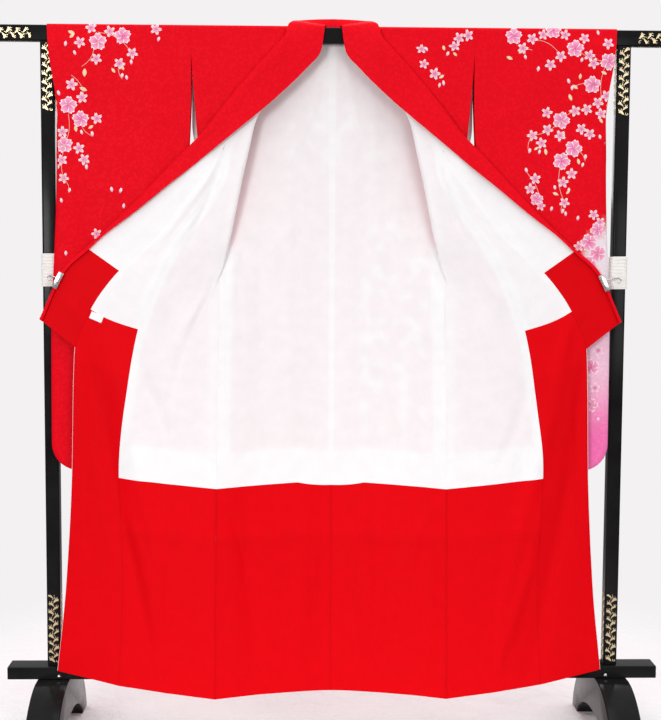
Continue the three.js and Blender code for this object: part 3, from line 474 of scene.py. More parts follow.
def collar_section(seam, fold, free, along, heel):
    """The collar goes out to its fold, and its free half comes back over it."""
    roll = 2.2
    out = (fold - seam) / np.linalg.norm(fold - seam)
    over = np.cross(out, along)
    over /= np.linalg.norm(over)
    if over @ (0, -1, 0.6) < 0:
        over = -over
    centre = fold - out * roll
    under, above = centre - over * roll, centre + over * roll
    start = mix(mix(seam, under, 0.2), seam + heel, min(1, np.linalg.norm(heel)))
    return [seam, start, mix(start, under, 0.5), under, fold, above, mix(above, free, 0.5), free]


def collar_stations():
    """Seam, fold, free edge and heel of the collar, from centre back down to its foot."""
    stations = []
    at = {name: cubic(NECK["x"], NECK[name]) for name in NECK}
    for x in NECK_STATIONS:
        seam = back_surface(np.array(x / SHOULDER_HALF), np.array(0.0))
        fold, free = (np.array([at[name + axis](x) for axis in "XYZ"]) for name in ("fold", "free"))
        stations.append((seam, fold, free, np.zeros(3)))
    for down in ROWS[ROWS <= COLLAR_FOOT]:
        heel = (np.array([SEAM_LIFT, 0, 0]) + away_from_bar(down, -1) * SEAM_LIFT) * curl(down)
        stations.append((collar_seam(down), collar_edge(down), collar_free(down), heel))
    return stations


def collar_surface():
    """Points of the half collar: a row for each station."""
    stations = collar_stations()
    along = np.gradient(np.array([s[0] for s in stations]), axis=0)
    along[0] = (1, 0, 0)
    lines = [collar_section(*station[:3], way, station[3]) for station, way in zip(stations, along)]
    return np.array([section(line, COLLAR_COLUMNS) for line in lines])


def unit(vectors):
    """Vectors of length 1."""
    return vectors / np.maximum(np.linalg.norm(vectors, axis=-1, keepdims=True), 1e-9)


def normals(grid):
    """Normals of a grid of points, towards the outer side of the cloth."""
    return unit(np.cross(np.gradient(grid, axis=1), np.gradient(grid, axis=0)))


# ---- creases ----


def crease_height(x, z, width, height, run):
    """Height of one soft crease over points (x, z); it fades out at both ends."""
    run = np.array(run, float)
    lengths = np.linalg.norm(np.diff(run, axis=0), axis=1)
    total, passed = lengths.sum(), 0.0
    nearest = np.full(x.shape, 1e9)
    fade = np.zeros(x.shape)
    for a, b, length in zip(run, run[1:], lengths):
        t = np.clip(((x - a[0]) * (b[0] - a[0]) + (z - a[1]) * (b[1] - a[1])) / length**2, 0, 1)
        away = np.hypot(x - mix(a[0], b[0], t), z - mix(a[1], b[1], t))
        share = (passed + t * length) / total
        closer = away < nearest
        nearest = np.where(closer, away, nearest)
        fade = np.where(closer, np.sin(np.pi * np.clip(share * 0.94 + 0.03, 0, 1)) ** 0.6, fade)
        passed += length
    return height * fade * np.exp(-((nearest / width) ** 2))


def relief(grid, cloth, side):
    """Creases and gentle waviness of one cloth, towards the eye, in millimetres."""
    x, z = grid[..., 0], grid[..., 2]
    height = np.zeros(x.shape)
    for which, width, rise, run in CREASES[cloth]:
        if which in ("both", side):
            height += crease_height(x, z, width, rise, run)
    height *= garment().folds
    sign = SIDES[side]
    flat = grid.reshape(-1, 3)
    waves = [
        noise.noise(Vector((sign * p[0] / 90, p[1] / 90 + 3, p[2] / 150)))
        + 0.35 * noise.noise(Vector((sign * p[0] / 34, p[1] / 34, p[2] / 40 + 7)))
        for p in flat
    ]
    held = smooth(8, 90, SHOULDER_Z - z)
    return height * held + np.array(waves).reshape(x.shape) * garment().unevenness / MM * held


# ---- from surfaces to cloth meshes ----


def placed(points, side):
    """Canonical points in millimetres, on their side of the garment, in metres."""
    return points * (SIDES[side] * MM, MM, MM) + (CENTRE_X * MM, 0, 0)


def in_scene(name, data):
    """A new object of the scene."""
    obj = bpy.data.objects.new(name, data)
    bpy.context.scene.collection.objects.link(obj)
    return obj


def finish_mesh(mesh, name, look, angle=50):
    """Turns a bmesh into a smooth object of one material, whose sharp edges stay sharp."""
    data = bpy.data.meshes.new(name)
    mesh.to_mesh(data)
    mesh.free()
    data.polygons.foreach_set("use_smooth", [True] * len(data.polygons))
    data.set_sharp_from_angle(angle=math.radians(angle))
    data.materials.append(material(look))
    obj = in_scene(name, data)
    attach(obj, "root")
    return obj


def grid_into(mesh, points, uvs=None, tint=None):
    """Adds a grid to a bmesh and moves its corners to points, with a cloth map and a tint."""
    rows, columns = points.shape[:2]
    uv_layer = mesh.loops.layers.uv.get("cloth") or mesh.loops.layers.uv.new("cloth")
    dye = mesh.verts.layers.float_color.get("dye") or mesh.verts.layers.float_color.new("dye")
    made = bmesh.ops.create_grid(mesh, x_segments=columns - 1, y_segments=rows - 1, size=0.5)["verts"]
    flat = points.reshape(-1, 3)
    for i, vert in enumerate(made):
        vert.co = flat[i]
        vert[dye] = (1, 1, 1, 1) if tint is None else (*tint.reshape(-1, 3)[i], 1)
    if uvs is not None:
        flat_uvs = uvs.reshape(-1, 2)
        number = {vert: i for i, vert in enumerate(made)}
        for face in {face for vert in made for face in vert.link_faces}:
            for loop in face.loops:
                loop[uv_layer].uv = flat_uvs[number[loop.vert]]
    return made


def cloth_map(grid):
    """Lengths across and down the cloth, in metres, for its weave."""
    across = np.cumsum(np.linalg.norm(np.diff(grid, axis=1, prepend=grid[:, :1]), axis=2), axis=1)
    down = np.cumsum(np.linalg.norm(np.diff(grid, axis=0, prepend=grid[:1]), axis=2), axis=0)
    down = down.mean(axis=1, keepdims=True) + 0 * across
    return np.stack([across, down], axis=-1) * MM


def drawn_in(grid, start=True, end=True, top=True, bottom=True):
    """Draws a grid's cut edges in by half a seam gap."""
    grid = grid.copy()
    for on, edge, inner in ((start, np.s_[:, 0], np.s_[:, 1]), (end, np.s_[:, -1], np.s_[:, -2]),
                            (top, np.s_[0], np.s_[1]), (bottom, np.s_[-1], np.s_[-2])):
        if on:
            grid[edge] += unit(grid[inner] - grid[edge]) * SEAM_GAP
    return grid


def tucked(grid):
    """Lets the first edge of a lining lie a little way under its neighbour."""
    grid = grid.copy()
    grid[:, 0] += unit(grid[:, 0] - grid[:, 1]) * 0.4 + (0, 0.08, 0)
    return grid


def thicken(obj, thickness):
    """Gives a sheet its second layer and closes its edges, which stay sharp."""
    shell = obj.modifiers.new("thickness", "SOLIDIFY")
    shell.thickness = thickness
    bpy.context.view_layer.update()
    graph = bpy.context.evaluated_depsgraph_get()
    baked = bpy.data.meshes.new_from_object(obj.evaluated_get(graph))
    obj.modifiers.clear()
    sheet, obj.data = obj.data, baked
    bpy.data.meshes.remove(sheet)
    baked.name = obj.name
    baked.set_sharp_from_angle(angle=math.radians(60))


def cloth(name, grid, side, thickness, look, node, tint=None):
    """A thin cloth through a grid of canonical points, as a closed shell in place of a node."""
    mesh = bmesh.new()
    grid_into(mesh, placed(grid, side), cloth_map(grid), tint)
    if SIDES[side] < 0:
        bmesh.ops.reverse_faces(mesh, faces=mesh.faces)
    obj = finish_mesh(mesh, name, look)
    thicken(obj, thickness)
    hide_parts(node)
    return obj


SILKS = {"crimson": "crimson_damask", "white_lining": "white_silk", "hem_red": "red_silk"}


def sewn(name, node, side, slot, grid, tint):
    """A panel of the garment: its silk and thickness follow from its slot."""
    thickness = garment().cloth if slot == "crimson" else garment().lining
    obj = cloth(f"{name}_{side}", grid, side, thickness, SILKS[slot], f"{node}_{side}", tint)
    return obj


def eased(mesh, edges, radius, segments):
    """Rounds some edges of a bmesh."""
    bmesh.ops.bevel(mesh, geom=edges, offset=radius, offset_type="OFFSET", segments=segments, profile=0.5,
                    affect="EDGES", material=-1)


def corners_in(geometry):
    """The corners among the parts that a bmesh operator gives back."""
    return [part for part in geometry if isinstance(part, bmesh.types.BMVert)]


class Half:
    """The middle surfaces of one half of the garment, creased, with normals that meet at seams."""

    def __init__(self, side):
        self.side = side
        u, down = np.meshgrid(BACK_COLUMNS, ROWS)
        self.back = back_surface(u, down)
        self.front = np.array([section(front_section(d), FRONT_COLUMNS) for d in ROWS])
        seam, edge = okumi_seam(ROWS), collar_seam(ROWS)
        self.okumi = mix(seam[:, None], edge[:, None], OKUMI_COLUMNS[None, :, None])
        self.collar = collar_surface()
        self.tip = row_of(OKUMI_TIP)
        self.foot = row_of(COLLAR_FOOT) + 1
        self.neck = len(NECK_STATIONS)
        self.crease()

    def out(self):
        """Normals of the four surfaces, made equal along each seam."""
        outs = {name: normals(getattr(self, name)) for name in ("back", "front", "okumi", "collar")}
        outs["back"][:, 0, 0] = 0
        outs["collar"][0, :, 0] = 0
        outs["back"][0, BACK_COLUMNS * SHOULDER_HALF > NECK_HALF] = (0, 0, 1)
        outs["front"][0, :np.searchsorted(FRONT_COLUMNS, TURN_COLUMN)] = (0, 0, 1)

        for a, b in self.seams(**outs):
            a[...] = b[...] = unit(a + b)
        return {name: unit(out) for name, out in outs.items()}

    def seams(self, back, front, okumi, collar):
        """The pairs of edges that are sewn together, as views of the four grids."""
        low, tip, foot, neck = row_of(VENT), self.tip, self.foot, self.neck
        return ((front[tip:, -1], okumi[tip:, 0]),
                (okumi[tip:foot, -1], collar[neck + tip:, 0]),
                (front[:tip, -1], collar[neck:neck + tip, 0]),
                (back[low:, -1], front[low:, 0]))

    def crease(self):
        """Moves the surfaces along their normals into creases."""
        outs = self.out()
        side = self.side
        turn = smooth(0, 0.9, abs(FRONT_COLUMNS - TURN_COLUMN))
        fore = FRONT_COLUMNS > TURN_COLUMN
        front = np.where(fore, -relief(self.front, "fore", side), relief(self.front, "rear", side)) * turn
        roll = smooth(0, 0.8, abs(COLLAR_COLUMNS - 4)) * (1 - smooth(4, 7, COLLAR_COLUMNS) * 0.3)
        upper = COLLAR_COLUMNS > 4
        collar = np.where(upper, relief(self.collar, "band", side), -relief(self.collar, "fore", side)) * roll
        side_seam = 1 - smooth(250, 330, self.back[..., 0]) * (ROWS < VENT)[:, None]
        self.back += outs["back"] * (-relief(self.back, "back", side) * side_seam)[..., None]
        self.front += outs["front"] * front[..., None]
        self.okumi += outs["okumi"] * -relief(self.okumi, "fore", side)[..., None]
        self.collar += outs["collar"] * collar[..., None]
        for a, b in self.seams(self.back, self.front, self.okumi, self.collar):
            a[...] = b[...] = mix(a, b, 0.5)
        self.outs = self.out()

    def front_lining(self, start, end, offset):
        """The front's upper lining: from the turn on, and below the vent from the side seam on."""
        shape = self.front[start:end] + self.outs["front"][start:end] * offset
        opened = smooth(500, 575, ROWS[start:end])
        shares = np.linspace(0, 1, len(FRONT_COLUMNS))
        turned = TURN_COLUMN + (7 - TURN_COLUMN) * shares
        rows = []
        for line, open_share in zip(shape, opened):
            at = mix(turned, FRONT_COLUMNS, open_share)
            rows.append(np.stack([np.interp(at, FRONT_COLUMNS, line[:, k]) for k in range(3)], axis=1))
        return np.array(rows)

    def okumi_lining(self, red, offset):
        """The okumi's white lining down to its slanting seam, or its red lining from there on."""
        shape = self.okumi + self.outs["okumi"] * offset
        starts = np.interp(OKUMI_COLUMNS, (0, 1), OKUMI_RED)
        lanes = []
        for j, start in enumerate(starts):
            near, far = (start, LENGTH) if red else (OKUMI_TIP, start)
            stops = spaced((near, far), 11) if j == 0 else None
            count = len(lanes[0]) if lanes else len(stops)
            down = np.linspace(near, far, count)
            lanes.append(np.stack([np.interp(down, ROWS, shape[:, j, k]) for k in range(3)], axis=1))
        return np.stack(lanes, axis=1)

    def cut(self, surface, offset, rows=(None,), columns=(None,)):
        """Part of a surface, moved out by offset from the middle."""
        part = (slice(*rows), slice(*columns))
        return getattr(self, surface)[part] + self.outs[surface][part] * offset


# ---- materials ----


class Look:
    """A node material, and the few kinds of node that the materials here are made of."""

    def __init__(self, name, mapped=False):
        self.material = bpy.data.materials.new(name)
        self.material.use_nodes = True
        self.nodes, self.links = self.material.node_tree.nodes, self.material.node_tree.links
        self.shader = self.nodes["Principled BSDF"]
        self.vector = self.cloth_vector() if mapped else self.new("TexCoord").outputs["Object"]

    def new(self, kind, **inputs):
        """A shader node with inputs given as values or sockets to link; _ stands for a space."""
        node = self.nodes.new("ShaderNode" + kind)
        for name, value in inputs.items():
            self.give(node.inputs[name.replace("_", " ")], value)
        return node

    def give(self, socket, value):
        """Links a socket, or sets its value; a colour of three numbers gets its alpha."""
        if isinstance(value, bpy.types.NodeSocket):
            self.links.new(value, socket)
        else:
            socket.default_value = (*value, 1) if socket.type == "RGBA" else value

    def set(self, **inputs):
        """Gives the main shader its values and sockets."""
        for name, value in inputs.items():
            self.give(self.shader.inputs[name.replace("_", " ")], value)

    def dye(self):
        """The tint stored in each piece's corners, which on the red linings also holds painted shade along
        the seams.
        """
        node = self.new("Attribute")
        node.attribute_name = "dye"
        return node

    def cloth_vector(self):
        """The cloth map, in metres across and down the cloth."""
        node = self.new("UVMap")
        node.uv_map = "cloth"
        return node.outputs["UV"]

    def ramp(self, factor, *stops):
        """The colour of a ramp with the given (place, colour or grey) stops."""
        node = self.new("ValToRGB", Fac=factor)
        for element, (place, colour) in zip(node.color_ramp.elements, stops):
            self.stop(element, place, colour)
        for place, colour in stops[2:]:
            self.stop(node.color_ramp.elements.new(place), place, colour)
        return node.outputs["Color"]

    def stop(self, element, place, colour):
        """Sets one stop of a ramp."""
        element.position = place
        element.color = (*(colour if hasattr(colour, "__len__") else grey(colour)), 1)

    def blend(self, factor, first, second, mode="MIX"):
        """A colour mix of two colours or sockets."""
        node = self.new("Mix")
        node.data_type = "RGBA"
        node.blend_type = mode
        for number, value in ((0, factor), (6, first), (7, second)):
            self.give(node.inputs[number], value)
        return node.outputs[2]

    def times(self, first, second):
        """One colour multiplied by another."""
        return self.blend(1.0, first, second, "MULTIPLY")

    def noise(self, scale, detail=3.0, roughness=0.55, vector=None):
        """A noise texture."""
        vector = vector or self.vector
        node = self.new("TexNoise", Scale=scale, Detail=detail, Roughness=roughness, Vector=vector)
        return node.outputs["Fac"]

    def bump(self, height, strength, distance, **normal):
        """A bump of a height socket, over another bump where that is given."""
        node = self.new("Bump", Strength=strength, Distance=distance, Height=height, **normal)
        return node.outputs["Normal"]

    def weave(self, pitch):
        """Height of a plain weave with the given thread pitch in metres."""
        waves = []
        for direction in "XY":
            scale = 1 / pitch / 20 * math.pi
            node = self.new("TexWave", Scale=scale, Distortion=1.2, Detail=1, Vector=self.vector)
            node.bands_direction = direction
            waves.append(node.outputs["Fac"])
        return self.blend(0.5, *waves)

    def wrinkled(self, depth):
        """Soft wrinkles that run down the cloth, longer than they are wide."""
        stretch = self.new("VectorMath")
        stretch.operation = "MULTIPLY"
        stretch.inputs[1].default_value = (14, 3.2, 1)
        self.links.new(self.vector, stretch.inputs[0])
        return self.bump(self.noise(1, 2.5, 0.5, stretch.outputs["Vector"]), 1.0, depth)


def grey(value):
    """A grey of one value."""
    return (value,) * 3


def damask_look(name):
    """Outer silk: crimson crepe with a tone-on-tone figure, dyed by the tint of the piece."""
    look = Look(name, mapped=True)
    figure = look.new("TexVoronoi")
    figure.feature = "SMOOTH_F1"
    for socket, value in (("Scale", 118), ("Smoothness", 0.35), ("Vector", look.vector)):
        look.give(figure.inputs[socket], value)
    petals = look.ramp(figure.outputs["Distance"], (0.30, 0.0), (0.52, 1.0))
    base = look.times(look.dye().outputs["Color"], look.ramp(look.noise(210), (0.34, 0.92), (0.66, 1.0)))
    look.set(
        Base_Color=look.blend(petals, base, look.times(base, grey(0.93))),
        Roughness=look.ramp(petals, (0.0, 0.52), (1.0, 0.64)),
        Normal=look.bump(look.noise(900, 2), 0.30, 0.0006, Normal=look.wrinkled(0.0032)),
        Sheen_Weight=0.04, Sheen_Roughness=0.45, Sheen_Tint=(1.0, 0.12, 0.18), Specular_IOR_Level=0.07,
    )


def lining_look(name, double, single, roughness, sheen):
    """Plain-woven lining; the tint says where it lies double and where the cloth behind shows through."""
    look = Look(name, mapped=True)
    base = look.blend(look.dye().outputs["Fac"], single, double)
    toned = look.times(base, look.ramp(look.noise(26), (0.30, 0.955), (0.70, 1.0)))
    look.set(
        Base_Color=look.times(toned, look.ramp(look.noise(420, 2), (0.30, 0.965), (0.70, 1.0))),
        Normal=look.bump(look.weave(0.0009), 0.10, 0.0003, Normal=look.wrinkled(0.0036)),
        Roughness=roughness, Sheen_Weight=sheen, Sheen_Roughness=0.4, Sheen_Tint=tuple(double),
        Specular_IOR_Level=0.04,
    )


def white_look(name):
    """White lining silk."""
    lining_look(name, garment().white, garment().sheer, 0.62, 0.06)


def red_look(name):
    """Red lining silk, a little darker where it lies single."""
    double = garment().hem_red
    lining_look(name, double, [channel * 0.86 for channel in double], 0.58, 0.04)


def blossom_look(name):
    """Painted and stitched blossoms: the tint of each petal over fine silk."""
    look = Look(name)
    grain = look.noise(900, 2)
    look.set(
        Base_Color=look.times(look.dye().outputs["Color"], look.ramp(grain, (0.30, 0.93), (0.70, 1.0))),
        Normal=look.bump(grain, 0.2, 0.0004), Roughness=0.55, Sheen_Weight=0.1,
    )


def lacquer_look(name):
    """Black lacquer, polished, with the faintest unevenness and dust."""
    look = Look(name)
    look.set(
        Base_Color=look.ramp(look.noise(9, 4), (0.3, stand().lacquer), (0.8, 0.016)),
        Roughness=look.ramp(look.noise(38, 5), (0.3, 0.14), (0.75, 0.22)),
        Normal=look.bump(look.noise(60, 2), 0.05, 0.001), Specular_IOR_Level=0.35, IOR=1.2,
    )


def gold_look(name):
    """Pale sprinkled gold, a little worn."""
    look = Look(name)
    grain = look.noise(700)
    worn, bright = (0.36, 0.25, 0.12), (0.95, 0.88, 0.68)
    look.set(
        Base_Color=look.ramp(grain, (0.25, worn), (0.5, stand().gold), (0.8, bright)),
        Normal=look.bump(grain, 0.35, 0.0005), Metallic=0.75, Roughness=0.38,
    )


def steel_look(name):
    """Plated spring steel with fine scratches."""
    look = Look(name)
    scratch = look.noise(260, 5)
    look.set(
        Base_Color=look.ramp(scratch, (0.3, (0.55, 0.55, 0.56)), (0.6, stand().steel)),
        Roughness=look.ramp(scratch, (0.3, 0.16), (0.7, 0.30)), Metallic=1,
    )


def cord_look(name):
    """Twisted off-white cord, its strands running round the thread."""
    look = Look(name)
    strands = look.noise(620)
    look.set(
        Base_Color=look.ramp(strands, (0.25, (0.90, 0.87, 0.81)), (0.6, stand().cord)),
        Normal=look.bump(strands, 0.5, 0.0008), Roughness=0.82, Sheen_Weight=0.25,
    )


def label_look(name):
    """Plain white woven label."""
    look = Look(name, mapped=True)
    threads = look.weave(0.0007)
    look.set(
        Base_Color=look.blend(threads, (0.88, 0.87, 0.87), (0.97, 0.96, 0.96)),
        Normal=look.bump(threads, 0.25, 0.0003), Roughness=0.6,
    )


LOOKS = {
    "crimson_damask": damask_look,
    "white_silk": white_look,
    "red_silk": red_look,
    "blossom_paint": blossom_look,
    "black_lacquer": lacquer_look,
    "sprinkled_gold": gold_look,
    "plated_steel": steel_look,
    "wound_cord": cord_look,
    "woven_label": label_look,
}


def material(name):
    """A material by name, made once."""
    if name not in bpy.data.materials:
        LOOKS[name](name)
    return bpy.data.materials[name]


# ---- tints ----


def crimson_tint(grid):
    """The outer silk's colour all over a grid."""
    return np.ones(grid.shape) * np.array(garment().crimson)


def edge_band(grid, axis, end, half, soft):
    """1 near one edge of a grid, by its length in millimetres."""
    steps = np.diff(grid, axis=axis, prepend=np.take(grid, [0], axis))
    lengths = np.cumsum(np.linalg.norm(steps, axis=2), axis=axis)
    if end:
        lengths = np.take(lengths, [-1], axis) - lengths
    return 1 - smooth(half, half + soft, lengths)


def even(grid, share):
    """The same share all over a grid."""
    return np.full(grid.shape[:2], share)


def as_tint(*shares):
    """Joins shares from 0 to 1 into a tint."""
    return np.repeat(np.clip(np.maximum.reduce(shares), 0, 1)[..., None], 3, axis=-1)


def red_tint_with_seam_shade(grid):
    """Even red, brighter where it lies double above the hem, with painted shade along each seam where the
    seam's pinch is shaded.
    """
    share = np.clip(0.72 + 0.28 * edge_band(grid, 0, False, 112, 12), 0, 1)
    # painted shade: a darker line along each seam stands for the shade in the seam's pinch
    seam = np.maximum(edge_band(grid, 1, False, 0.8, 3), edge_band(grid, 1, True, 0.8, 3))
    return as_tint(share * (1 - seam))


def shown_through(grid, side):
    """Where pale blossoms behind the white lining show through it."""
    x, z = grid[..., 0], grid[..., 2]
    drift = smooth(40, 90, x) * (1 - smooth(215, 250, x)) * smooth(700, 760, z) * (1 - smooth(1240, 1330, z))
    neck = smooth(1380, 1420, z) * (1 - smooth(100, 150, x))
    share = drift * (side == "right") + neck
    spots = [noise.noise(Vector((p[0] / 31, SIDES[side] * 7, p[2] / 36))) for p in grid.reshape(-1, 3)]
    return share * 0.6 * smooth(-0.05, 0.34, np.array(spots).reshape(x.shape))


# ---- operators: the stage and the stand ----


class STAGE_OT_set(bpy.types.Operator):
    """Sets the pale floor, the soft light and the camera"""

    bl_idname = "furisode.stage"
    bl_label = "Stage"

    def execute(self, context):
        self.floor()
        self.world(context.scene)
        self.lights()
        self.camera(context.scene)
        context.scene.view_settings.view_transform = "Standard"
        return {"FINISHED"}

    def floor(self):
        """A pale floor that fades out into the background."""
        mesh = bmesh.new()
        bmesh.ops.create_circle(mesh, cap_ends=True, segments=96, radius=FLOOR_RADIUS)
        data = bpy.data.meshes.new("floor")
        mesh.to_mesh(data)
        mesh.free()
        look = Look("pale_floor")
        fade = look.new("MapRange", From_Min=FLOOR_FADE[0], From_Max=FLOOR_FADE[1], To_Min=1.0, To_Max=0.0)
        fade.interpolation_type = "SMOOTHSTEP"
        distance = look.new("VectorMath")
        distance.operation = "LENGTH"
        look.give(distance.inputs[0], look.vector)
        look.give(fade.inputs["Value"], distance.outputs["Value"])
        look.set(
            Base_Color=look.ramp(look.noise(3, 4), (0.3, (0.87, 0.855, 0.87)), (0.7, (0.94, 0.93, 0.94))),
            Normal=look.bump(look.noise(5, 5, 0.6), 1.0, 0.03), Roughness=0.9, Alpha=fade.outputs["Result"],
        )
        data.materials.append(look.material)
        floor = in_scene("floor", data)

    def world(self, scene):
        """A pale room: bright to the eye, softer as light."""
        world = bpy.data.worlds.new("pale_room")
        world.use_nodes = True
        nodes, links = world.node_tree.nodes, world.node_tree.links
        background = nodes["Background"]
        path = nodes.new("ShaderNodeLightPath")
        level = nodes.new("ShaderNodeMapRange")
        sky = nodes.new("ShaderNodeMapRange")
        for socket, value in zip(("To Min", "To Max"), ROOM_LIGHT):
            sky.inputs[socket].default_value = value
        place, split = nodes.new("ShaderNodeTexCoord"), nodes.new("ShaderNodeSeparateXYZ")
        links.new(place.outputs["Generated"], split.inputs[0])
        links.new(split.outputs["Z"], sky.inputs["Value"])
        links.new(sky.outputs["Result"], level.inputs["To Min"])
        background.inputs["Color"].default_value = (*ROOM, 1)
        links.new(path.outputs["Is Camera Ray"], level.inputs["Value"])
        links.new(level.outputs["Result"], background.inputs["Strength"])
        scene.world = world

    def lights(self):
        """Large soft lights in front, above and behind."""
        for name, (place, size, power) in LAMPS.items():
            data = bpy.data.lights.new(name, "AREA")
            data.size = size
            data.energy = power
            lamp = in_scene(name, data)
            lamp.location = place
            lamp.rotation_euler = (Vector(AIM) - Vector(place)).to_track_quat("-Z", "Y").to_euler()

    def camera(self, scene):
        """The camera, level with the middle of the garment and a little to its left."""
        data = bpy.data.cameras.new("camera")
        data.sensor_fit = "VERTICAL"
        data.sensor_width = 36
        data.sensor_height = 36
        data.lens = FOCAL_PIXELS / PICTURE_HEIGHT * data.sensor_height
        camera = in_scene("camera", data)
        yaw, pitch, roll = (math.radians(angle) for angle in CAMERA_TURN)
        turn = Matrix.Rotation(yaw, 4, "Z") @ Matrix.Rotation(pitch, 4, "X") @ Matrix.Rotation(roll, 4, "Z")
        camera.matrix_world = Matrix.Translation(CAMERA_PLACE) @ turn
        scene.camera = camera


def rounded_block(name, node, radius, axis):
    """A lacquered bar in a node's place: its long edges rounded by radius and its ends eased."""
    low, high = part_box(node)
    mesh = bmesh.new()
    bmesh.ops.create_cube(mesh, size=1)
    size = [b - a for a, b in zip(low, high)]
    centre = [(a + b) / 2 for a, b in zip(low, high)]
    bmesh.ops.scale(mesh, vec=size, verts=mesh.verts)
    bmesh.ops.translate(mesh, vec=centre, verts=mesh.verts)
    eased(mesh, [e for e in mesh.edges if length_along(e, axis) > size[axis] * 0.9], radius, 6)
    eased(mesh, [e for e in mesh.edges if length_along(e, axis) < size[axis] * 0.01], 0.0012, 2)
    obj = finish_mesh(mesh, name, "black_lacquer", 35)
    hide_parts(node)


def length_along(edge, axis):
    """How far an edge runs along an axis."""
    return abs(edge.verts[0].co[axis] - edge.verts[1].co[axis])


class STAND_OT_frame(bpy.types.Operator):
    """Builds the stand's bar, rail, posts and arched feet"""

    bl_idname = "furisode.stand"
    bl_label = "Stand"

    def execute(self, context):
        rounded_block("stand_bar", "top_bar", 0.004, 0)
        rounded_block("stand_rail", "base_rail", 0.003, 0)
        rounded_block("stand_catch", "post_catch", 0.0015, 2)
        for side in SIDES:
            rounded_block(f"stand_post_{side}", f"post_{side}", stand().edge, 2)
            self.foot(side)
        return {"FINISHED"}

    def foot(self, side):
        """An arch across the stand, its edges eased."""
        low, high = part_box(f"foot_{side}")
        reach, top = high[1], high[2]
        pad, crown, shoulder = 0.058, 0.064, 0.052
        outer = [(-reach, 0), (-reach + 0.008, 0.07), (-reach + 0.08, top - 0.006), (-shoulder, top)]
        inner = [(0, crown), (-0.07, crown), (-(reach - pad - 0.03), 0.046), (-(reach - pad), 0)]
        half = bezier(outer, 18) + [(0, top)]
        under = bezier(inner, 14)
        outline = half + [(-y, z) for y, z in reversed(half[:-1])]
        outline += [(-y, z) for y, z in reversed(under)] + under[1:]
        mesh = bmesh.new()
        ring = [mesh.verts.new((low[0], y, z)) for y, z in outline]
        face = mesh.faces.new(ring)
        grown = bmesh.ops.extrude_face_region(mesh, geom=[face])["geom"]
        bmesh.ops.translate(mesh, vec=(high[0] - low[0], 0, 0), verts=corners_in(grown))
        bmesh.ops.recalc_face_normals(mesh, faces=mesh.faces)
        eased(mesh, [e for e in mesh.edges if length_along(e, 0) < MERGE], 0.0035, 3)
        obj = finish_mesh(mesh, f"stand_foot_{side}", "black_lacquer", 40)
        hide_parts(f"foot_{side}")


def bezier(points, count):
    """Points along a cubic curve with four control points."""
    made = []
    for i in range(count + 1):
        t = i / count
        share = ((1 - t) ** 3, 3 * t * (1 - t) ** 2, 3 * t * t * (1 - t), t**3)
        made.append(tuple(sum(s * p[k] for s, p in zip(share, points)) for k in range(2)))
    return made


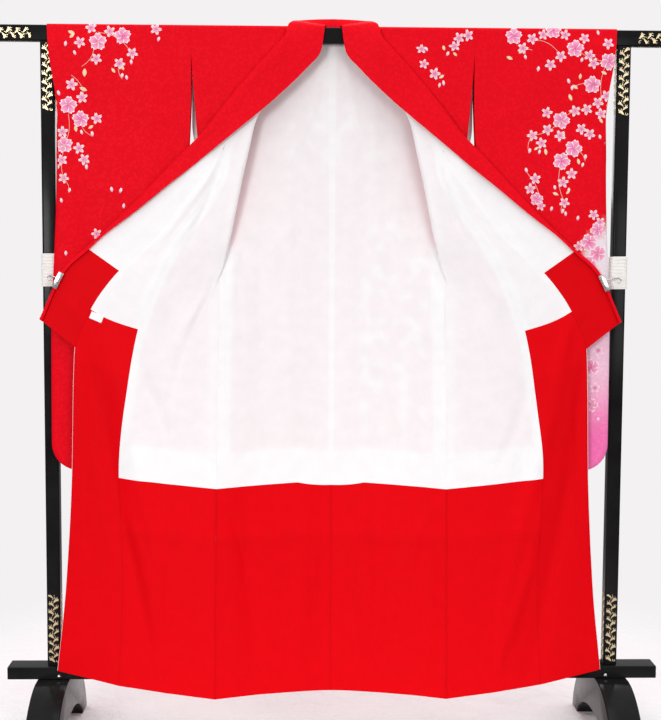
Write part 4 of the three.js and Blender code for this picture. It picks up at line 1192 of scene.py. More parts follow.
class STAND_OT_ornament(bpy.types.Operator):
    """Lays gold leaf scrolls on the ends of the posts and of the bar"""

    bl_idname = "furisode.ornament"
    bl_label = "Gold ornament"

    proud = 0.00025     # height of the gold over the lacquer
    sunk = 0.00005      # depth of its edges in the lacquer
    pitch = 0.0098      # from one leaf to the next

    def execute(self, context):
        for side in SIDES:
            low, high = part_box(f"post_{side}")
            mesh = bmesh.new()
            for start, end in ((low[2] + 0.008, 0.366), (1.520, high[2] - 0.004)):
                for face in range(4):
                    self.scroll(mesh, low, high, 2, start, end, face)
            bar_low, bar_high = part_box("top_bar")
            start, end = sorted(SIDES[side] * value for value in (0.714, bar_high[0] - 0.004))
            for face in range(4):
                self.scroll(mesh, bar_low, bar_high, 0, start, end, face)
            if side == "right":
                low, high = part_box("post_catch")
                spot = (mix(low[2], high[2], 0.3), mix(low[0], high[0], 0.5), low[1], -1)
                self.dot(mesh, (2, 0, 1), spot, 0.0026)
            bmesh.ops.recalc_face_normals(mesh, faces=mesh.faces)
            obj = finish_mesh(mesh, f"gold_scroll_{side}", "sprinkled_gold", 40)
        return {"FINISHED"}

    def scroll(self, mesh, low, high, axis, start, end, face):
        """Leaves by turns along one face of a bar, each with curls and a dot beside it."""
        others = [k for k in range(3) if k != axis]
        wide, deep = others if face % 2 == 0 else others[::-1]
        axes = (axis, wide, deep)
        half = (high[wide] - low[wide]) / 2
        middle = (high[wide] + low[wide]) / 2
        outward = 1 if face < 2 else -1
        level = high[deep] if outward > 0 else low[deep]
        reach = min(half - 0.0035, 0.0135)
        for i in range(int((end - start) / self.pitch)):
            along = start + (i + 0.5) * self.pitch
            sway = 0.0012 * math.sin(i * 1.7 + face)
            hand = 1 if (i + face) % 2 else -1
            base = (along, middle + sway, level, outward)
            self.leaf(mesh, axes, base, hand, reach, i % 3)
            self.curl(mesh, axes, base, -hand, reach, 0.0040 + 0.0007 * math.sin(i * 2.1))
            if i % 3 != 1:
                self.curl(mesh, axes, (along + self.pitch * 0.4, *base[1:]), hand, reach, 0.0024)
            self.dot(mesh, axes, (along + self.pitch * 0.45, middle - sway * 2, level, outward), 0.0011)

    def leaf(self, mesh, axes, base, hand, reach, kind):
        """One curved leaf, pointed at both ends."""

        def form(co):
            t, s = co.x + 0.5, co.y * 2
            width = 0.0031 * math.sin(math.pi * t) ** 0.7 * (1.2 if kind == 0 else 0.85)
            along = 0.0068 * t + 0.0034 * math.sin(t * math.pi * 0.9) - 0.004 + s * width
            return along, hand * (-0.0020 + (reach + 0.0012) * t), self.proud * (1 - 0.5 * s * s)

        made = bmesh.ops.create_grid(mesh, x_segments=6, y_segments=2, size=0.5)["verts"]
        self.lay(mesh, axes, base, made, form)

    def curl(self, mesh, axes, base, hand, reach, wide):
        """A small hooked tendril beside the leaves."""

        def form(co):
            t = co.x + 0.5
            angle = 0.3 + 5.0 * t
            radius = wide * (0.30 + 0.70 * t) + co.y * (0.0010 + 0.0008 * t)
            across = hand * (reach - wide - 0.0004 + radius * math.sin(angle))
            return -0.0012 + radius * math.cos(angle), across, self.proud * 0.8

        made = bmesh.ops.create_grid(mesh, x_segments=9, y_segments=1, size=0.5)["verts"]
        self.lay(mesh, axes, base, made, form)

    def dot(self, mesh, axes, base, radius):
        """A small round bead of gold."""
        made = bmesh.ops.create_circle(mesh, cap_ends=True, segments=8, radius=1)["verts"]
        self.lay(mesh, axes, base, made, lambda co: (co.x * radius, co.y * radius, self.proud))

    def lay(self, mesh, axes, base, made, form):
        """Lays new corners over one face of a bar and takes their edges down into it, thin as gold."""
        faces = list({f for v in made for f in v.link_faces})
        for vert in made:
            along, across, rise = form(vert.co)
            vert.co[axes[0]], vert.co[axes[1]] = base[0] + along, base[1] + across
            vert.co[axes[2]] = base[2] + base[3] * rise
        for vert in corners_in(bmesh.ops.extrude_face_region(mesh, geom=faces)["geom"]):
            vert.co[axes[2]] = base[2] - base[3] * self.sunk


def tube(name, points, radius, look, sides=3):
    """A round wire or cord through points, as a mesh."""
    data = bpy.data.curves.new(name, "CURVE")
    data.dimensions = "3D"
    data.bevel_depth = radius
    data.bevel_resolution = sides
    data.use_fill_caps = True
    spline = data.splines.new("POLY")
    spline.points.add(len(points) - 1)
    for point, place in zip(spline.points, points):
        point.co = (*place, 1)
    curve = in_scene(name + "_path", data)
    bpy.context.view_layer.update()
    baked = bpy.data.meshes.new_from_object(curve.evaluated_get(bpy.context.evaluated_depsgraph_get()))
    bpy.data.objects.remove(curve)
    mesh = bmesh.new()
    mesh.from_mesh(baked)
    bpy.data.meshes.remove(baked)
    bmesh.ops.remove_doubles(mesh, verts=mesh.verts, dist=MERGE)
    bmesh.ops.recalc_face_normals(mesh, faces=mesh.faces)
    return finish_mesh(mesh, name, look, 60)


def joined(name, objects):
    """Joins meshes into the first one."""
    mesh = bmesh.new()
    for obj in objects:
        mesh.from_mesh(obj.data)
    look = objects[0].data.materials[0].name
    for obj in objects:
        bpy.data.objects.remove(obj)
    return finish_mesh(mesh, name, look, 60)


def smooth_path(points, per_span):
    """A smooth curve through a few points (Catmull-Rom)."""
    points = [Vector(p) for p in points]
    padded = [2 * points[0] - points[1], *points, 2 * points[-1] - points[-2]]
    made = []
    for a, b, c, d in zip(padded, padded[1:], padded[2:], padded[3:]):
        for i in range(per_span):
            t = i / per_span
            made.append(0.5 * (2 * b + (c - a) * t + (2 * a - 5 * b + 4 * c - d) * t**2
                               + (3 * b - a - 3 * c + d) * t**3))
    return made + [points[-1]]


class STAND_OT_fittings(bpy.types.Operator):
    """Makes the wound cords, the clips with their hooks, and the studs"""

    bl_idname = "furisode.fittings"
    bl_label = "Cords and clips"

    def execute(self, context):
        for side in SIDES:
            self.wrap(side)
            self.clip(side)
            self.hook(side)
            self.stud(side)
        return {"FINISHED"}

    def wrap(self, side):
        """Close turns of cord round a post, one continuous winding."""
        low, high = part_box(f"cord_wrap_{side}")
        post_low, post_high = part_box(f"post_{side}")
        radius = CORD_RADIUS
        turns = int((high[2] - low[2]) / (2 * radius)) - 1
        half = [(b - a) / 2 + radius + 0.0002 for a, b in zip(post_low, post_high)][:2]
        centre = [(a + b) / 2 for a, b in zip(post_low, post_high)]
        corner = stand().edge + radius
        ring = self.ring(half, corner)
        points = []
        for turn in range(turns):
            for k, (x, y) in enumerate(ring):
                lift = (turn + k / len(ring)) * 2 * radius
                points.append((centre[0] + x, centre[1] + y, low[2] + radius + lift))
        obj = tube(f"cord_winding_{side}", points, radius, "wound_cord", sides=2)
        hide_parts(f"cord_wrap_{side}")

    def ring(self, half, corner):
        """Points once round a rounded rectangle."""
        points = []
        for quarter, (sx, sy) in enumerate(((1, 1), (-1, 1), (-1, -1), (1, -1))):
            for step in range(5):
                angle = (quarter + step / 4) * math.pi / 2
                points.append((sx * (half[0] - corner) + corner * math.cos(angle),
                               sy * (half[1] - corner) + corner * math.sin(angle)))
        return points

    def clip(self, side):
        """The CAD clip's own form, eased at its edges."""
        node = f"clip_{side}"
        mesh = bmesh.new()
        mesh.from_mesh(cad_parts[node].data)
        bmesh.ops.remove_doubles(mesh, verts=mesh.verts, dist=MERGE)
        bmesh.ops.dissolve_limit(mesh, angle_limit=math.radians(2), verts=mesh.verts, edges=mesh.edges)
        edges = [e for e in mesh.edges if e.is_manifold and e.calc_face_angle() > math.radians(40)]
        eased(mesh, edges, 0.0005, 2)
        obj = finish_mesh(mesh, f"clip_jaw_{side}", "plated_steel", 40)
        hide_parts(node)

    def hook(self, side):
        """The wire hook and its coiled spring, between the clip and the wound cord."""
        sign = SIDES[side]
        low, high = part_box(f"hook_{side}")
        inner = low[0] if sign > 0 else high[0]
        outer = high[0] if sign > 0 else low[0]
        back, front = high[1], low[1]
        middle = (low[2] + high[2]) / 2
        wire = WIRE_RADIUS
        path = smooth_path([
            (inner + sign * wire, front + wire, middle - 0.002),
            (mix(inner, outer, 0.45), front + wire, middle + 0.004),
            (mix(inner, outer, 0.75), mix(front, back, 0.4), middle + 0.005),
            (outer - sign * wire, back - wire, middle + 0.001),
            (outer - sign * 0.004, back - wire, middle - 0.005),
            (outer - sign * 0.010, back - 0.002, middle - 0.0045),
        ], 8)
        parts = [tube(f"hook_wire_{side}", path, wire, "plated_steel")]
        start, end = Vector(path[4]), Vector(path[16])
        axis = (end - start).normalized()
        first = axis.cross(Vector((0, 0, 1))).normalized()
        second = axis.cross(first)
        coil = []
        for i in range(COIL_TURNS * COIL_STEPS + 1):
            angle = i / COIL_STEPS * 2 * math.pi
            spot = start.lerp(end, i / (COIL_TURNS * COIL_STEPS))
            coil.append(spot + (first * math.cos(angle) + second * math.sin(angle)) * COIL_RADIUS)
        parts.append(tube(f"hook_coil_{side}", coil, COIL_WIRE, "plated_steel", sides=1))
        obj = joined(f"clip_hook_{side}", parts)
        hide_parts(f"hook_{side}")

    def stud(self, side):
        """A small domed stud."""
        low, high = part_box(f"rail_stud_{side}")
        radius = (high[0] - low[0]) / 2
        profile = [(0, low[1]), (radius * 0.45, low[1] + 0.0004), (radius * 0.8, low[1] + 0.0016),
                   (radius, high[1] - 0.0008), (radius, high[1]), (0, high[1])]
        mesh = bmesh.new()
        chain = [mesh.verts.new((r, y, 0)) for r, y in profile]
        edges = [mesh.edges.new(pair) for pair in zip(chain, chain[1:])]
        bmesh.ops.spin(mesh, geom=chain + edges, cent=(0, 0, 0), axis=(0, 1, 0), angle=2 * math.pi,
                       steps=24, use_merge=True)
        bmesh.ops.remove_doubles(mesh, verts=mesh.verts, dist=MERGE)
        bmesh.ops.recalc_face_normals(mesh, faces=mesh.faces)
        centre = ((low[0] + high[0]) / 2, 0, (low[2] + high[2]) / 2)
        bmesh.ops.translate(mesh, vec=centre, verts=mesh.verts)
        obj = finish_mesh(mesh, f"stud_{side}", "plated_steel", 40)
        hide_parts(f"rail_stud_{side}")


# ---- operators: the garment ----

HALVES = {}


def half(side):
    """The surfaces of one half, worked out once."""
    if side not in HALVES:
        HALVES[side] = Half(side)
    return HALVES[side]


class CLOTH_OT_back(bpy.types.Operator):
    """Makes the two halves of the back with their white and red linings"""

    bl_idname = "furisode.back"
    bl_label = "Back"

    def execute(self, context):
        hem = row_of(HEM_LINING)
        for side in SIDES:
            body = half(side)
            outer = drawn_in(body.cut("back", OUTER_AT), bottom=False)
            obj = sewn("back_outer", "back", side, "crimson", outer, crimson_tint(outer))
            white = drawn_in(body.cut("back", LINING_AT, rows=(0, hem + 1)))
            tint = as_tint(edge_band(white, 1, False, 7, 3), edge_band(white, 1, True, 24, 16),
                           edge_band(white, 0, True, 78, 14), edge_band(white, 0, False, 20, 40) * 0.7,
                           shown_through(white, side))
            obj = sewn("back_white", "back_lining", side, "white_lining", white, tint)
            red = drawn_in(body.cut("back", LINING_AT, rows=(hem, None)), bottom=False)
            obj = sewn("back_red", "back_hem_lining", side, "hem_red", red, red_tint_with_seam_shade(red))
        return {"FINISHED"}


class CLOTH_OT_fronts(bpy.types.Operator):
    """Makes the turned-out fronts and okumi with their linings"""

    bl_idname = "furisode.fronts"
    bl_label = "Fronts"

    def execute(self, context):
        for side in SIDES:
            self.front(side)
            self.okumi(side)
        return {"FINISHED"}

    def front(self, side):
        """The front panel: outer silk, white lining from the turn on, red lining below."""
        body = half(side)
        hem, start = row_of(HEM_LINING), row_of(FRONT_WHITE_FROM)
        outer = drawn_in(body.cut("front", OUTER_AT), bottom=False)
        obj = sewn("front_outer", "front", side, "crimson", outer, crimson_tint(outer))
        white = drawn_in(body.front_lining(start, hem + 1, LINING_AT))
        tint = as_tint(edge_band(white, 1, False, 10, 30) * 0.45, edge_band(white, 1, True, 16, 10),
                       edge_band(white, 0, True, 78, 14))
        obj = sewn("front_white", "front_lining", side, "white_lining", white, tint)
        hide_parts(f"front_turned_lining_{side}")
        red = drawn_in(body.cut("front", LINING_AT, rows=(hem, None)), bottom=False)
        obj = sewn("front_red", "front_hem_lining", side, "hem_red", red, red_tint_with_seam_shade(red))

    def okumi(self, side):
        """The okumi: outer silk behind, its white lining above and its red lining below."""
        body = half(side)
        outer = drawn_in(body.cut("okumi", OUTER_AT, rows=(body.tip, None)), bottom=False)
        obj = sewn("okumi_outer", "okumi", side, "crimson", outer, crimson_tint(outer))
        white = tucked(drawn_in(body.okumi_lining(False, LINING_AT)))
        tint = as_tint(edge_band(white, 1, False, 12, 10), edge_band(white, 1, True, 12, 10),
                       even(white, 0.55))
        obj = sewn("okumi_white", "okumi_lining", side, "white_lining", white, tint)
        red = tucked(drawn_in(body.okumi_lining(True, LINING_AT), bottom=False))
        obj = sewn("okumi_red", "okumi_hem_lining", side, "hem_red", red, red_tint_with_seam_shade(red))
        # A thin pale line of white silk along the okumi's free edge, laid just off its surface.
        start = body.foot - 1
        line = placed(body.okumi[start:, -1] + body.outs["okumi"][start:, -1] * 0.2, side)
        obj = tube(f"okumi_edge_{side}", line, PALE_EDGE_RADIUS, "white_silk", sides=1)


class CLOTH_OT_collar(bpy.types.Operator):
    """Makes the folded collar with its white lining and red ends"""

    bl_idname = "furisode.collar"
    bl_label = "Collar"

    def execute(self, context):
        for side in SIDES:
            body = half(side)
            under = (0, int(np.searchsorted(COLLAR_COLUMNS, UNDER_COLUMN + 1e-6)))
            start, end = (body.neck + row_of(down) for down in (COLLAR_WHITE_FROM, COLLAR_WHITE))
            outer = drawn_in(body.cut("collar", OUTER_AT), end=False, bottom=False)
            obj = sewn("collar_outer", "collar", side, "crimson", outer, crimson_tint(outer))
            white = drawn_in(body.cut("collar", LINING_AT, (start, end + 1), under))
            tint = as_tint(even(white, 0.9))
            obj = sewn("collar_white", "collar_lining", side, "white_lining", white, tint)
            red = drawn_in(body.cut("collar", LINING_AT, (end, None), under), bottom=False)
            obj = sewn("collar_red", "collar_end", side, "hem_red", red, as_tint(even(red, 0.5)))
        return {"FINISHED"}


# ---- sleeves ----

SLEEVE_LAYERS = {-1: ("innerFront", "outerFront"), 1: ("innerBack", "outerBack")}
SLEEVE_INNER, SLEEVE_OUTER = (cubic(SLEEVE_OUTLINE["down"], SLEEVE_OUTLINE[k]) for k in ("inner", "outer"))
SLEEVE_Y = {name: cubic(SLEEVE_DEPTH["down"], values) for name, values in SLEEVE_DEPTH.items()}


def sleeve_points(u, down, facing, side, lift=0.0):
    """Points of one layer of the sleeve, creased; lift moves them out from its face."""
    foot = SLEEVE["drop"] - SLEEVE["corner"]
    lower = np.clip(down - foot, 0, SLEEVE["corner"])
    pull = SLEEVE["corner"] - np.sqrt(np.maximum(0, SLEEVE["corner"] ** 2 - lower**2))
    x = mix(SLEEVE_INNER(down) + SLEEVE_OFF, SLEEVE_OUTER(down) - SLEEVE["middle"] - pull, u)
    depth, height = over_bar(down)
    inner, outer = (SLEEVE_Y[name](down) for name in SLEEVE_LAYERS[facing])
    hanging = mix(inner, outer, u**1.4)
    hold = 1 - smooth(OVER_BAR, HOLD_END, down)
    y = mix(hanging, facing * depth, hold)
    grid = np.stack([x, y, height + 0 * x], axis=-1)
    out = away_from_bar(down, facing)
    edge = smooth(0, 0.04, u) * (1 - smooth(0.955, 1, u)) * (1 - smooth(foot, SLEEVE["drop"], down))
    height = relief(grid, "sleeve", side) * edge * (1 if facing < 0 else -0.6)
    return grid + out * (height + SLEEVE["middle"] + SLEEVE_OFF + lift)[..., None]


class CLOTH_OT_sleeves(bpy.types.Operator):
    """Makes the two long sleeves, open at the cuff and at the body side"""

    bl_idname = "furisode.sleeves"
    bl_label = "Sleeves"

    def execute(self, context):
        for side in SIDES:
            self.sleeve(side)
        return {"FINISHED"}

    def sleeve(self, side):
        """One sleeve: a sheet over the bar whose foot and outer edge are closed below the cuff."""
        corner = SLEEVE["corner"] * np.sin(np.radians(np.arange(10, 91, 10)))
        foot = SLEEVE["drop"] - SLEEVE["corner"]
        rows = np.concatenate([spaced((0, 18), 2), spaced((18, 60), 7)[1:],
                               spaced((60, SLEEVE["cuff"], foot), 13)[1:], foot + corner])
        stations = spaced((0, 1), 0.04)
        u, down = np.meshgrid(stations, rows)
        front = sleeve_points(u, down, -1, side)
        back = sleeve_points(u, down, 1, side)
        sheet = np.concatenate([back[:0:-1], front])
        cuff = int(np.argmin(abs(rows - SLEEVE["cuff"])))
        rims = [np.concatenate([layer[cuff:, -1], layer[-1, -2::-1]]) for layer in (front, back)]
        strip = self.strip(*rims)
        mesh = bmesh.new()
        grid_into(mesh, placed(sheet, side), cloth_map(sheet), sleeve_dye(sheet, side))
        grid_into(mesh, placed(strip, side), cloth_map(strip), sleeve_dye(strip, side))
        bmesh.ops.remove_doubles(mesh, verts=mesh.verts, dist=2e-5)
        bmesh.ops.recalc_face_normals(mesh, faces=mesh.faces)
        obj = finish_mesh(mesh, f"sleeve_outer_{side}", "crimson_damask", 70)
        thicken(obj, garment().cloth)
        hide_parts(f"sleeve_{side}")

    def strip(self, front, back):
        """The closed edge between the two layers, a little rounded outward."""
        run = unit(np.gradient(front, axis=0))
        outward = unit(np.cross(run, (0, 1, 0)))
        outward *= np.sign((outward @ (1, 0, -1)))[:, None]
        gap = np.linalg.norm(front - back, axis=1)
        shares = np.linspace(0, 1, 7)
        lanes = [mix(front, back, s) + outward * (np.minimum(gap, 12) * 0.3 * math.sin(math.pi * s))[:, None]
                 for s in shares]
        return np.stack(lanes, axis=1)


def sleeve_dye(grid, side):
    """Crimson, and on the right sleeve a pale cloud that turns to bright pink further down."""
    x, z = grid[..., 0], grid[..., 2]
    tint = crimson_tint(grid)
    if side == "left":
        return tint
    white, pale, pink = np.array(((0.97, 0.84, 0.90), (0.98, 0.60, 0.76), (0.98, 0.19, 0.49)))
    edge = 1292 - 1.5 * (667 - x) + 14 * np.sin(x / 13 + z / 41)
    cloud = (1 - smooth(-22, 22, z - edge))[..., None]
    low, high = (1 - smooth(740, 935, z))[..., None], smooth(960, 1150, z)[..., None]
    return mix(tint, mix(mix(pale, pink, low), white, high), cloud)


# ---- blossoms ----


class Spray:
    """Collects petals, leaves and stems that lie on one cloth."""

    def __init__(self, onto):
        self.mesh = bmesh.new()
        self.dye = self.mesh.verts.layers.float_color.new("dye")
        self.onto = onto
        self.layer = 0

    def patch(self, place, turn, across, along, colour):
        """A small grid of petal form, laid on the cloth; across and along list its lines."""
        segments = {"x_segments": len(across) - 1, "y_segments": len(along) - 1}
        made = bmesh.ops.create_grid(self.mesh, size=0.5, **segments)["verts"]
        self.layer = (self.layer + 1) % 9
        lift = 0.35 + 0.07 * self.layer
        cos, sin = math.cos(turn), math.sin(turn)
        points = []
        for i, vert in enumerate(made):
            s, t = across[i % len(across)], along[i // len(across)]
            a, b, tint = colour(s, t)
            points.append((place[0] + cos * a - sin * b, place[1] - sin * a - cos * b))
            vert[self.dye] = (*tint, 1)
        for vert, spot in zip(made, self.onto(np.array(points), lift)):
            vert.co = spot

    def finish(self, name):
        """Ends the spray as one piece."""
        obj = finish_mesh(self.mesh, name, "blossom_paint", 180)


RIM = (-1, -0.86, -0.78, -0.4, 0, 0.4, 0.78, 0.86, 1)
DEEP = (0.02, 0.2, 0.45, 0.7, 0.84, 0.9, 1)
SLIM = (-1, -0.5, 0, 0.5, 1)
SHORT = (0, 0.25, 0.5, 0.75, 1)
STEM_HALF_WIDTH = 0.55


def petal_form(size, width, notch, tint):
    """Form and colour of a petal that widens from its foot and is notched at its tip."""

    def at(s, t):
        wide = math.sin(math.pi * (0.04 + 0.70 * t**0.9)) ** 0.8
        reach = size * t * (1 - notch * math.exp(-((s / 0.3) ** 2)) * t**3 - 0.30 * abs(s) ** 3 * t)
        return s * size * width * wide, reach, tint(s, t)

    return at


def blossom(spray, place, size, turn, kind):
    """A cherry blossom of five petals; kind is full, open or small."""
    petal, heart = np.array(garment().petal), np.array(garment().petal_heart)
    white = mix(petal, np.ones(3), 0.7)

    def rimmed(s, t):
        inside = abs(s) < 0.8 and t < 0.87
        return mix(mix(heart, petal * (1, 0.55, 0.72), min(1, t * 1.15)), white, 0 if inside else 1)

    def soft(s, t):
        return mix(heart, white, min(1, max(0, t * 1.05 - 0.12 + 0.35 * s * s)))

    for i in range(5):
        angle = turn + i * 2 * math.pi / 5
        if kind == "small":
            spray.patch(place, angle, SLIM, SHORT, petal_form(size, 0.25, 0.26, soft))
        else:
            spray.patch(place, angle, RIM, DEEP, petal_form(size, 0.425, 0.17, rimmed))
    if kind == "small":
        return
    gold = np.array(garment().leaf) if kind == "open" else heart * (1, 0.6, 0.8)
    for i in range(10 if kind == "full" else 5):
        angle = turn + (i + 0.5) * 2 * math.pi / (10 if kind == "full" else 5)
        long = size * (0.44 if i % 2 else 0.34)
        spray.patch(place, angle, (-1, 1), (0, 0.7, 1), lambda s, t: (
            s * size * (0.018 + 0.035 * (t == 1)), long * t, gold))


def leaf(spray, place, size, turn):
    """A slender young leaf."""
    colour = np.array(garment().leaf)
    spray.patch(place, turn, SLIM, SHORT, lambda s, t: (
        s * size * 0.24 * math.sin(math.pi * t) ** 0.8, size * t, mix(colour * (1, 0.8, 0.85), colour, t)))


def bud(spray, place, size, turn):
    """A closed bud or a loose petal: pink at its foot, pale at its tip."""
    petal, heart = np.array(garment().petal), np.array(garment().petal_heart)
    form = petal_form(size, 0.27, 0.12, lambda s, t: mix(heart, petal, min(1, 0.2 + t * 1.2)))
    spray.patch(place, turn, SLIM, SHORT, form)


def stem(spray, start, end, bow):
    """A thin stem from one place to another, bowed to one side."""
    start, end = np.array(start, float), np.array(end, float)
    run = end - start
    side = np.array((-run[1], run[0])) / np.linalg.norm(run)
    colour = mix(np.array(garment().leaf), np.array(garment().petal_heart), 0.35)

    def at(s, t):
        spot = run * t + side * (bow * math.sin(math.pi * t) + s * STEM_HALF_WIDTH)
        return spot[0], -spot[1], colour

    spray.patch(start, 0, (-1, 1), tuple(i / 8 for i in range(9)), at)


# Sprays on the sleeves: x outward from centre back and cloth length below the shoulder, in mm.
# Kinds: F full blossom, O open blossom, s small blossom, b bud or loose petal, l leaf.
SPRAYS = {
    "left": [
        ("O", 552, 52, 22), ("F", 494, 38, 21), ("s", 568, 20, 15), ("s", 524, 28, 15), ("s", 594, 54, 15),
        ("s", 556, 92, 15), ("s", 472, 78, 15), ("s", 502, 102, 15), ("s", 416, 22, 15), ("b", 628, 64, 13),
        ("b", 604, 84, 12), ("b", 474, 104, 12), ("b", 412, 50, 12), ("l", 606, 34, 17), ("l", 618, 44, 15),
        ("l", 584, 134, 20), ("b", 498, 136, 13), ("b", 484, 140, 12), ("l", 512, 124, 14),
        ("l", 492, 118, 13), ("s", 614, 152, 16), ("O", 622, 200, 22), ("F", 594, 232, 21),
        ("s", 590, 182, 15), ("s", 556, 230, 15), ("b", 642, 178, 13), ("b", 652, 200, 12),
        ("l", 648, 218, 14), ("b", 566, 272, 13), ("b", 590, 268, 12), ("l", 604, 262, 16),
        ("l", 576, 254, 14), ("l", 578, 166, 19), ("s", 636, 262, 15), ("O", 632, 292, 21),
        ("s", 598, 300, 15), ("s", 638, 328, 15), ("s", 586, 326, 15), ("b", 652, 318, 12),
        ("b", 580, 350, 13), ("s", 634, 370, 14), ("b", 648, 350, 12), ("b", 622, 404, 12),
        ("b", 638, 428, 12), ("b", 520, 402, 13), ("b", 502, 404, 13), ("b", 494, 440, 12),
        ("s", 558, 500, 14), ("b", 630, 552, 12),
    ],
    "right": [
        ("O", 426, 30, 21), ("F", 572, 58, 22), ("s", 300, 28, 14), ("s", 448, 58, 15), ("s", 470, 36, 15),
        ("s", 538, 76, 15), ("s", 514, 96, 15), ("b", 484, 112, 13), ("b", 456, 84, 12), ("l", 424, 84, 16),
        ("l", 438, 70, 14), ("F", 520, 16, 20), ("s", 496, 26, 14), ("s", 548, 26, 14), ("s", 606, 74, 15),
        ("s", 616, 92, 15), ("O", 652, 88, 22), ("s", 650, 46, 15), ("s", 594, 34, 14), ("b", 628, 26, 12),
        ("l", 648, 118, 15), ("b", 586, 90, 12), ("F", 614, 142, 22), ("b", 560, 140, 13),
        ("b", 566, 156, 12), ("l", 580, 152, 16), ("l", 584, 130, 14), ("s", 628, 184, 15),
        ("s", 648, 168, 15), ("s", 602, 200, 15), ("s", 574, 204, 15), ("s", 636, 210, 15),
        ("b", 650, 196, 12), ("l", 640, 232, 14), ("l", 566, 180, 17), ("s", 508, 208, 15),
        ("O", 542, 226, 22), ("s", 510, 248, 15), ("s", 590, 246, 15), ("s", 610, 258, 15),
        ("s", 540, 262, 15), ("s", 474, 262, 15), ("s", 496, 280, 15), ("b", 466, 304, 13),
        ("b", 490, 306, 12), ("l", 508, 308, 16), ("l", 478, 296, 13), ("O", 572, 292, 22),
        ("F", 544, 322, 22), ("l", 544, 270, 15), ("b", 600, 318, 13), ("b", 592, 336, 12),
        ("l", 586, 330, 15), ("b", 636, 270, 12), ("b", 648, 284, 12), ("s", 568, 352, 15),
        ("s", 548, 372, 15), ("b", 530, 390, 12), ("l", 538, 402, 15), ("l", 556, 400, 13),
        ("s", 552, 420, 14), ("b", 562, 396, 12), ("b", 546, 446, 13), ("b", 556, 452, 12),
        ("b", 462, 350, 13), ("s", 482, 364, 15), ("s", 470, 388, 15), ("O", 486, 412, 17),
        ("s", 496, 428, 13), ("b", 520, 440, 12), ("b", 584, 462, 12), ("s", 622, 448, 14),
        ("s", 638, 466, 14), ("O", 632, 484, 19), ("F", 612, 514, 22), ("O", 634, 540, 22),
        ("s", 588, 524, 14), ("s", 578, 548, 14), ("F", 612, 566, 22), ("s", 594, 586, 14),
        ("O", 628, 606, 20), ("s", 606, 628, 14), ("F", 636, 648, 20), ("s", 616, 668, 13),
        ("s", 590, 640, 13), ("s", 640, 772, 14), ("F", 624, 812, 21), ("s", 612, 838, 14),
        ("s", 634, 862, 14), ("s", 606, 880, 13), ("O", 626, 904, 18), ("s", 600, 936, 14),
        ("b", 642, 944, 12), ("s", 560, 700, 14), ("O", 536, 760, 21), ("s", 566, 780, 14),
        ("s", 520, 820, 14), ("F", 560, 860, 21), ("s", 520, 900, 14), ("s", 480, 960, 14),
        ("O", 440, 900, 20), ("s", 410, 950, 14), ("F", 470, 1000, 19), ("s", 540, 990, 14),
        ("s", 400, 1010, 13),
    ],
}
STEMS = {
    "left": [((552, 30), (472, 78), 12), ((590, 110), (560, 60), -8), ((614, 130), (586, 190), 10),
             ((594, 232), (566, 272), -8), ((622, 220), (636, 300), 8), ((632, 300), (634, 372), -6),
             ((586, 326), (580, 350), 4), ((634, 372), (622, 404), 5), ((502, 102), (496, 138), -5)],
    "right": [((426, 30), (470, 62), 8), ((470, 36), (540, 76), -10), ((572, 58), (652, 88), 8),
              ((614, 142), (566, 150), 6), ((602, 200), (542, 226), 8), ((542, 226), (474, 262), -8),
              ((474, 262), (466, 304), 6), ((572, 292), (600, 322), -6), ((544, 322), (552, 420), 10),
              ((552, 420), (546, 446), 4), ((462, 350), (496, 428), -8), ((648, 88), (640, 190), 10)],
}
BACK_LEFT_ROWS = 44      # the left sleeve's back carries the spray without its last loose flowers
BODY_SPRAY = [
    ("s", 208, 62, 14), ("b", 222, 68, 12), ("s", 214, 100, 13), ("s", 240, 122, 15), ("b", 262, 148, 12),
    ("l", 250, 132, 14), ("b", 250, 152, 11), ("s", 296, 34, 14), ("s", 318, 28, 14), ("s", 286, 54, 15),
    ("b", 268, 80, 13), ("l", 262, 66, 15), ("l", 292, 80, 13),
]


def flowers(spray, rows, turn=0.0):
    """Puts each blossom, bud and leaf of a table on the spray."""
    for i, (kind, x, down, size) in enumerate(rows):
        angle = turn + i * 2.399
        place = (x, down)
        if kind in "FO":
            blossom(spray, place, size, angle, "full" if kind == "F" else "open")
        elif kind == "s":
            blossom(spray, place, size, angle, "small")
        elif kind == "b":
            bud(spray, place, size, 0.35 * math.sin(i * 1.7))
        else:
            leaf(spray, place, size, 1.2 * math.sin(i * 2.3))


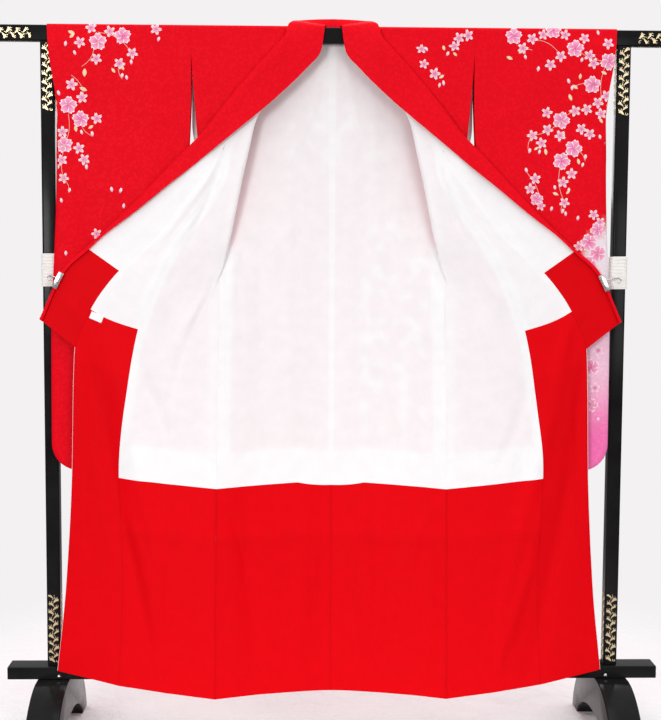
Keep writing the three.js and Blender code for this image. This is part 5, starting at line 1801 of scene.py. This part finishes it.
class CLOTH_OT_blossoms(bpy.types.Operator):
    """Scatters cherry blossom sprays on the sleeves and the shoulder"""

    bl_idname = "furisode.blossoms"
    bl_label = "Blossoms"

    def execute(self, context):
        for side in SIDES:
            for layer, facing, turn in (("front", -1, 0.0), ("back", 1, 0.6)):
                spray = Spray(lambda points, lift, s=side, f=facing: self.on_sleeve(points, lift, s, f))
                for start, end, bow in STEMS[side]:
                    stem(spray, start, end, bow)
                upper = BACK_LEFT_ROWS if (layer, side) == ("back", "left") else None
                flowers(spray, SPRAYS[side][:upper], turn)
                spray.finish(f"blossoms_{layer}_{side}")
        spray = Spray(self.on_front)
        flowers(spray, BODY_SPRAY)
        spray.finish("blossoms_shoulder")
        return {"FINISHED"}

    def on_sleeve(self, points, lift, side, facing):
        """Places on a sleeve's front or back layer, in metres."""
        down = points[:, 1]
        inner, outer = SLEEVE_INNER(abs(down)), SLEEVE_OUTER(abs(down))
        u = np.clip((points[:, 0] - inner) / (outer - inner), 0.003, 0.997)
        over = down < 0
        spots = sleeve_points(u, abs(down), facing, side, lift)
        if over.any():
            spots[over] = sleeve_points(u[over], -down[over], -facing, side, lift)
        return placed(spots, side)

    def on_front(self, points, lift):
        """Places on the right front's visible outer side, in metres."""
        body = half("right")
        rear = FRONT_COLUMNS <= 3
        spots = []
        for x, down in points:
            row = int(np.clip(np.searchsorted(ROWS, max(down, 0)) - 1, 0, len(ROWS) - 2))
            share = (max(down, 0) - ROWS[row]) / (ROWS[row + 1] - ROWS[row])
            outer = body.front + body.outs["front"] * (OUTER_AT + garment().cloth / MM + lift)
            line = mix(outer[row, rear], outer[row + 1, rear], share)
            order = np.argsort(line[:, 0])
            spots.append([x, *(np.interp(x, line[order, 0], line[order, k]) for k in (1, 2))])
        return placed(np.array(spots), "right")


class CLOTH_OT_label(bpy.types.Operator):
    """Sews the small blank label on the left okumi"""

    bl_idname = "furisode.label"
    bl_label = "Label"

    def execute(self, context):
        body = half("left")
        row = row_of(640)
        inner, corner = (
            np.array([np.interp(start, ROWS, body.okumi[:, j, k]) for k in range(3)])
            for j, start in ((0, OKUMI_RED[0]), (-1, OKUMI_RED[1]))
        )
        along = unit(inner - corner)
        fall = body.okumi[row + 6, -1] - body.okumi[row, -1]
        down = unit(fall - along * (fall @ along))
        facing = np.cross(along, down)
        facing *= -np.sign(facing[1])
        start = corner + along * 4 + down * 3
        a, d = np.meshgrid(np.linspace(0, 31, 9), np.linspace(0, 17, 6))
        rise = 1.6 + 0.5 * np.sin(a / 31 * math.pi) * (d / 17)
        grid = start + along * a[..., None] + down * d[..., None] + facing * rise[..., None]
        obj = cloth("label_woven", grid, "left", 0.0003, "woven_label", "label")
        return {"FINISHED"}


class FURISODE_PT_panel(bpy.types.Panel):
    """Lists the pieces and the settings"""

    bl_idname = "FURISODE_PT_panel"
    bl_label = "Furisode"
    bl_space_type = "VIEW_3D"
    bl_region_type = "UI"
    bl_category = "Furisode"

    def draw(self, context):
        for operator in OPERATORS:
            self.layout.operator(operator.bl_idname)
        for settings in (context.scene.furisode, context.scene.kimono_stand):
            box = self.layout.box()
            for name in settings.__annotations__:
                box.prop(settings, name)


OPERATORS = (
    STAGE_OT_set,
    STAND_OT_frame,
    STAND_OT_ornament,
    STAND_OT_fittings,
    CLOTH_OT_back,
    CLOTH_OT_fronts,
    CLOTH_OT_collar,
    CLOTH_OT_sleeves,
    CLOTH_OT_label,
    CLOTH_OT_blossoms,
)
CLASSES = (FurisodeSettings, StandSettings, *OPERATORS, FURISODE_PT_panel)


def register():
    """Registers the classes and the scene's settings."""
    for each in CLASSES:
        bpy.utils.register_class(each)
    bpy.types.Scene.furisode = bpy.props.PointerProperty(type=FurisodeSettings)
    bpy.types.Scene.kimono_stand = bpy.props.PointerProperty(type=StandSettings)


def unregister():
    """Removes the settings and the classes."""
    del bpy.types.Scene.furisode
    del bpy.types.Scene.kimono_stand
    for each in reversed(CLASSES):
        bpy.utils.unregister_class(each)


def main():
    """Builds every piece in order."""
    register()
    for operator in OPERATORS:
        group, name = operator.bl_idname.split(".")
        getattr(getattr(bpy.ops, group), name)()


if __name__ == "__main__":
    main()
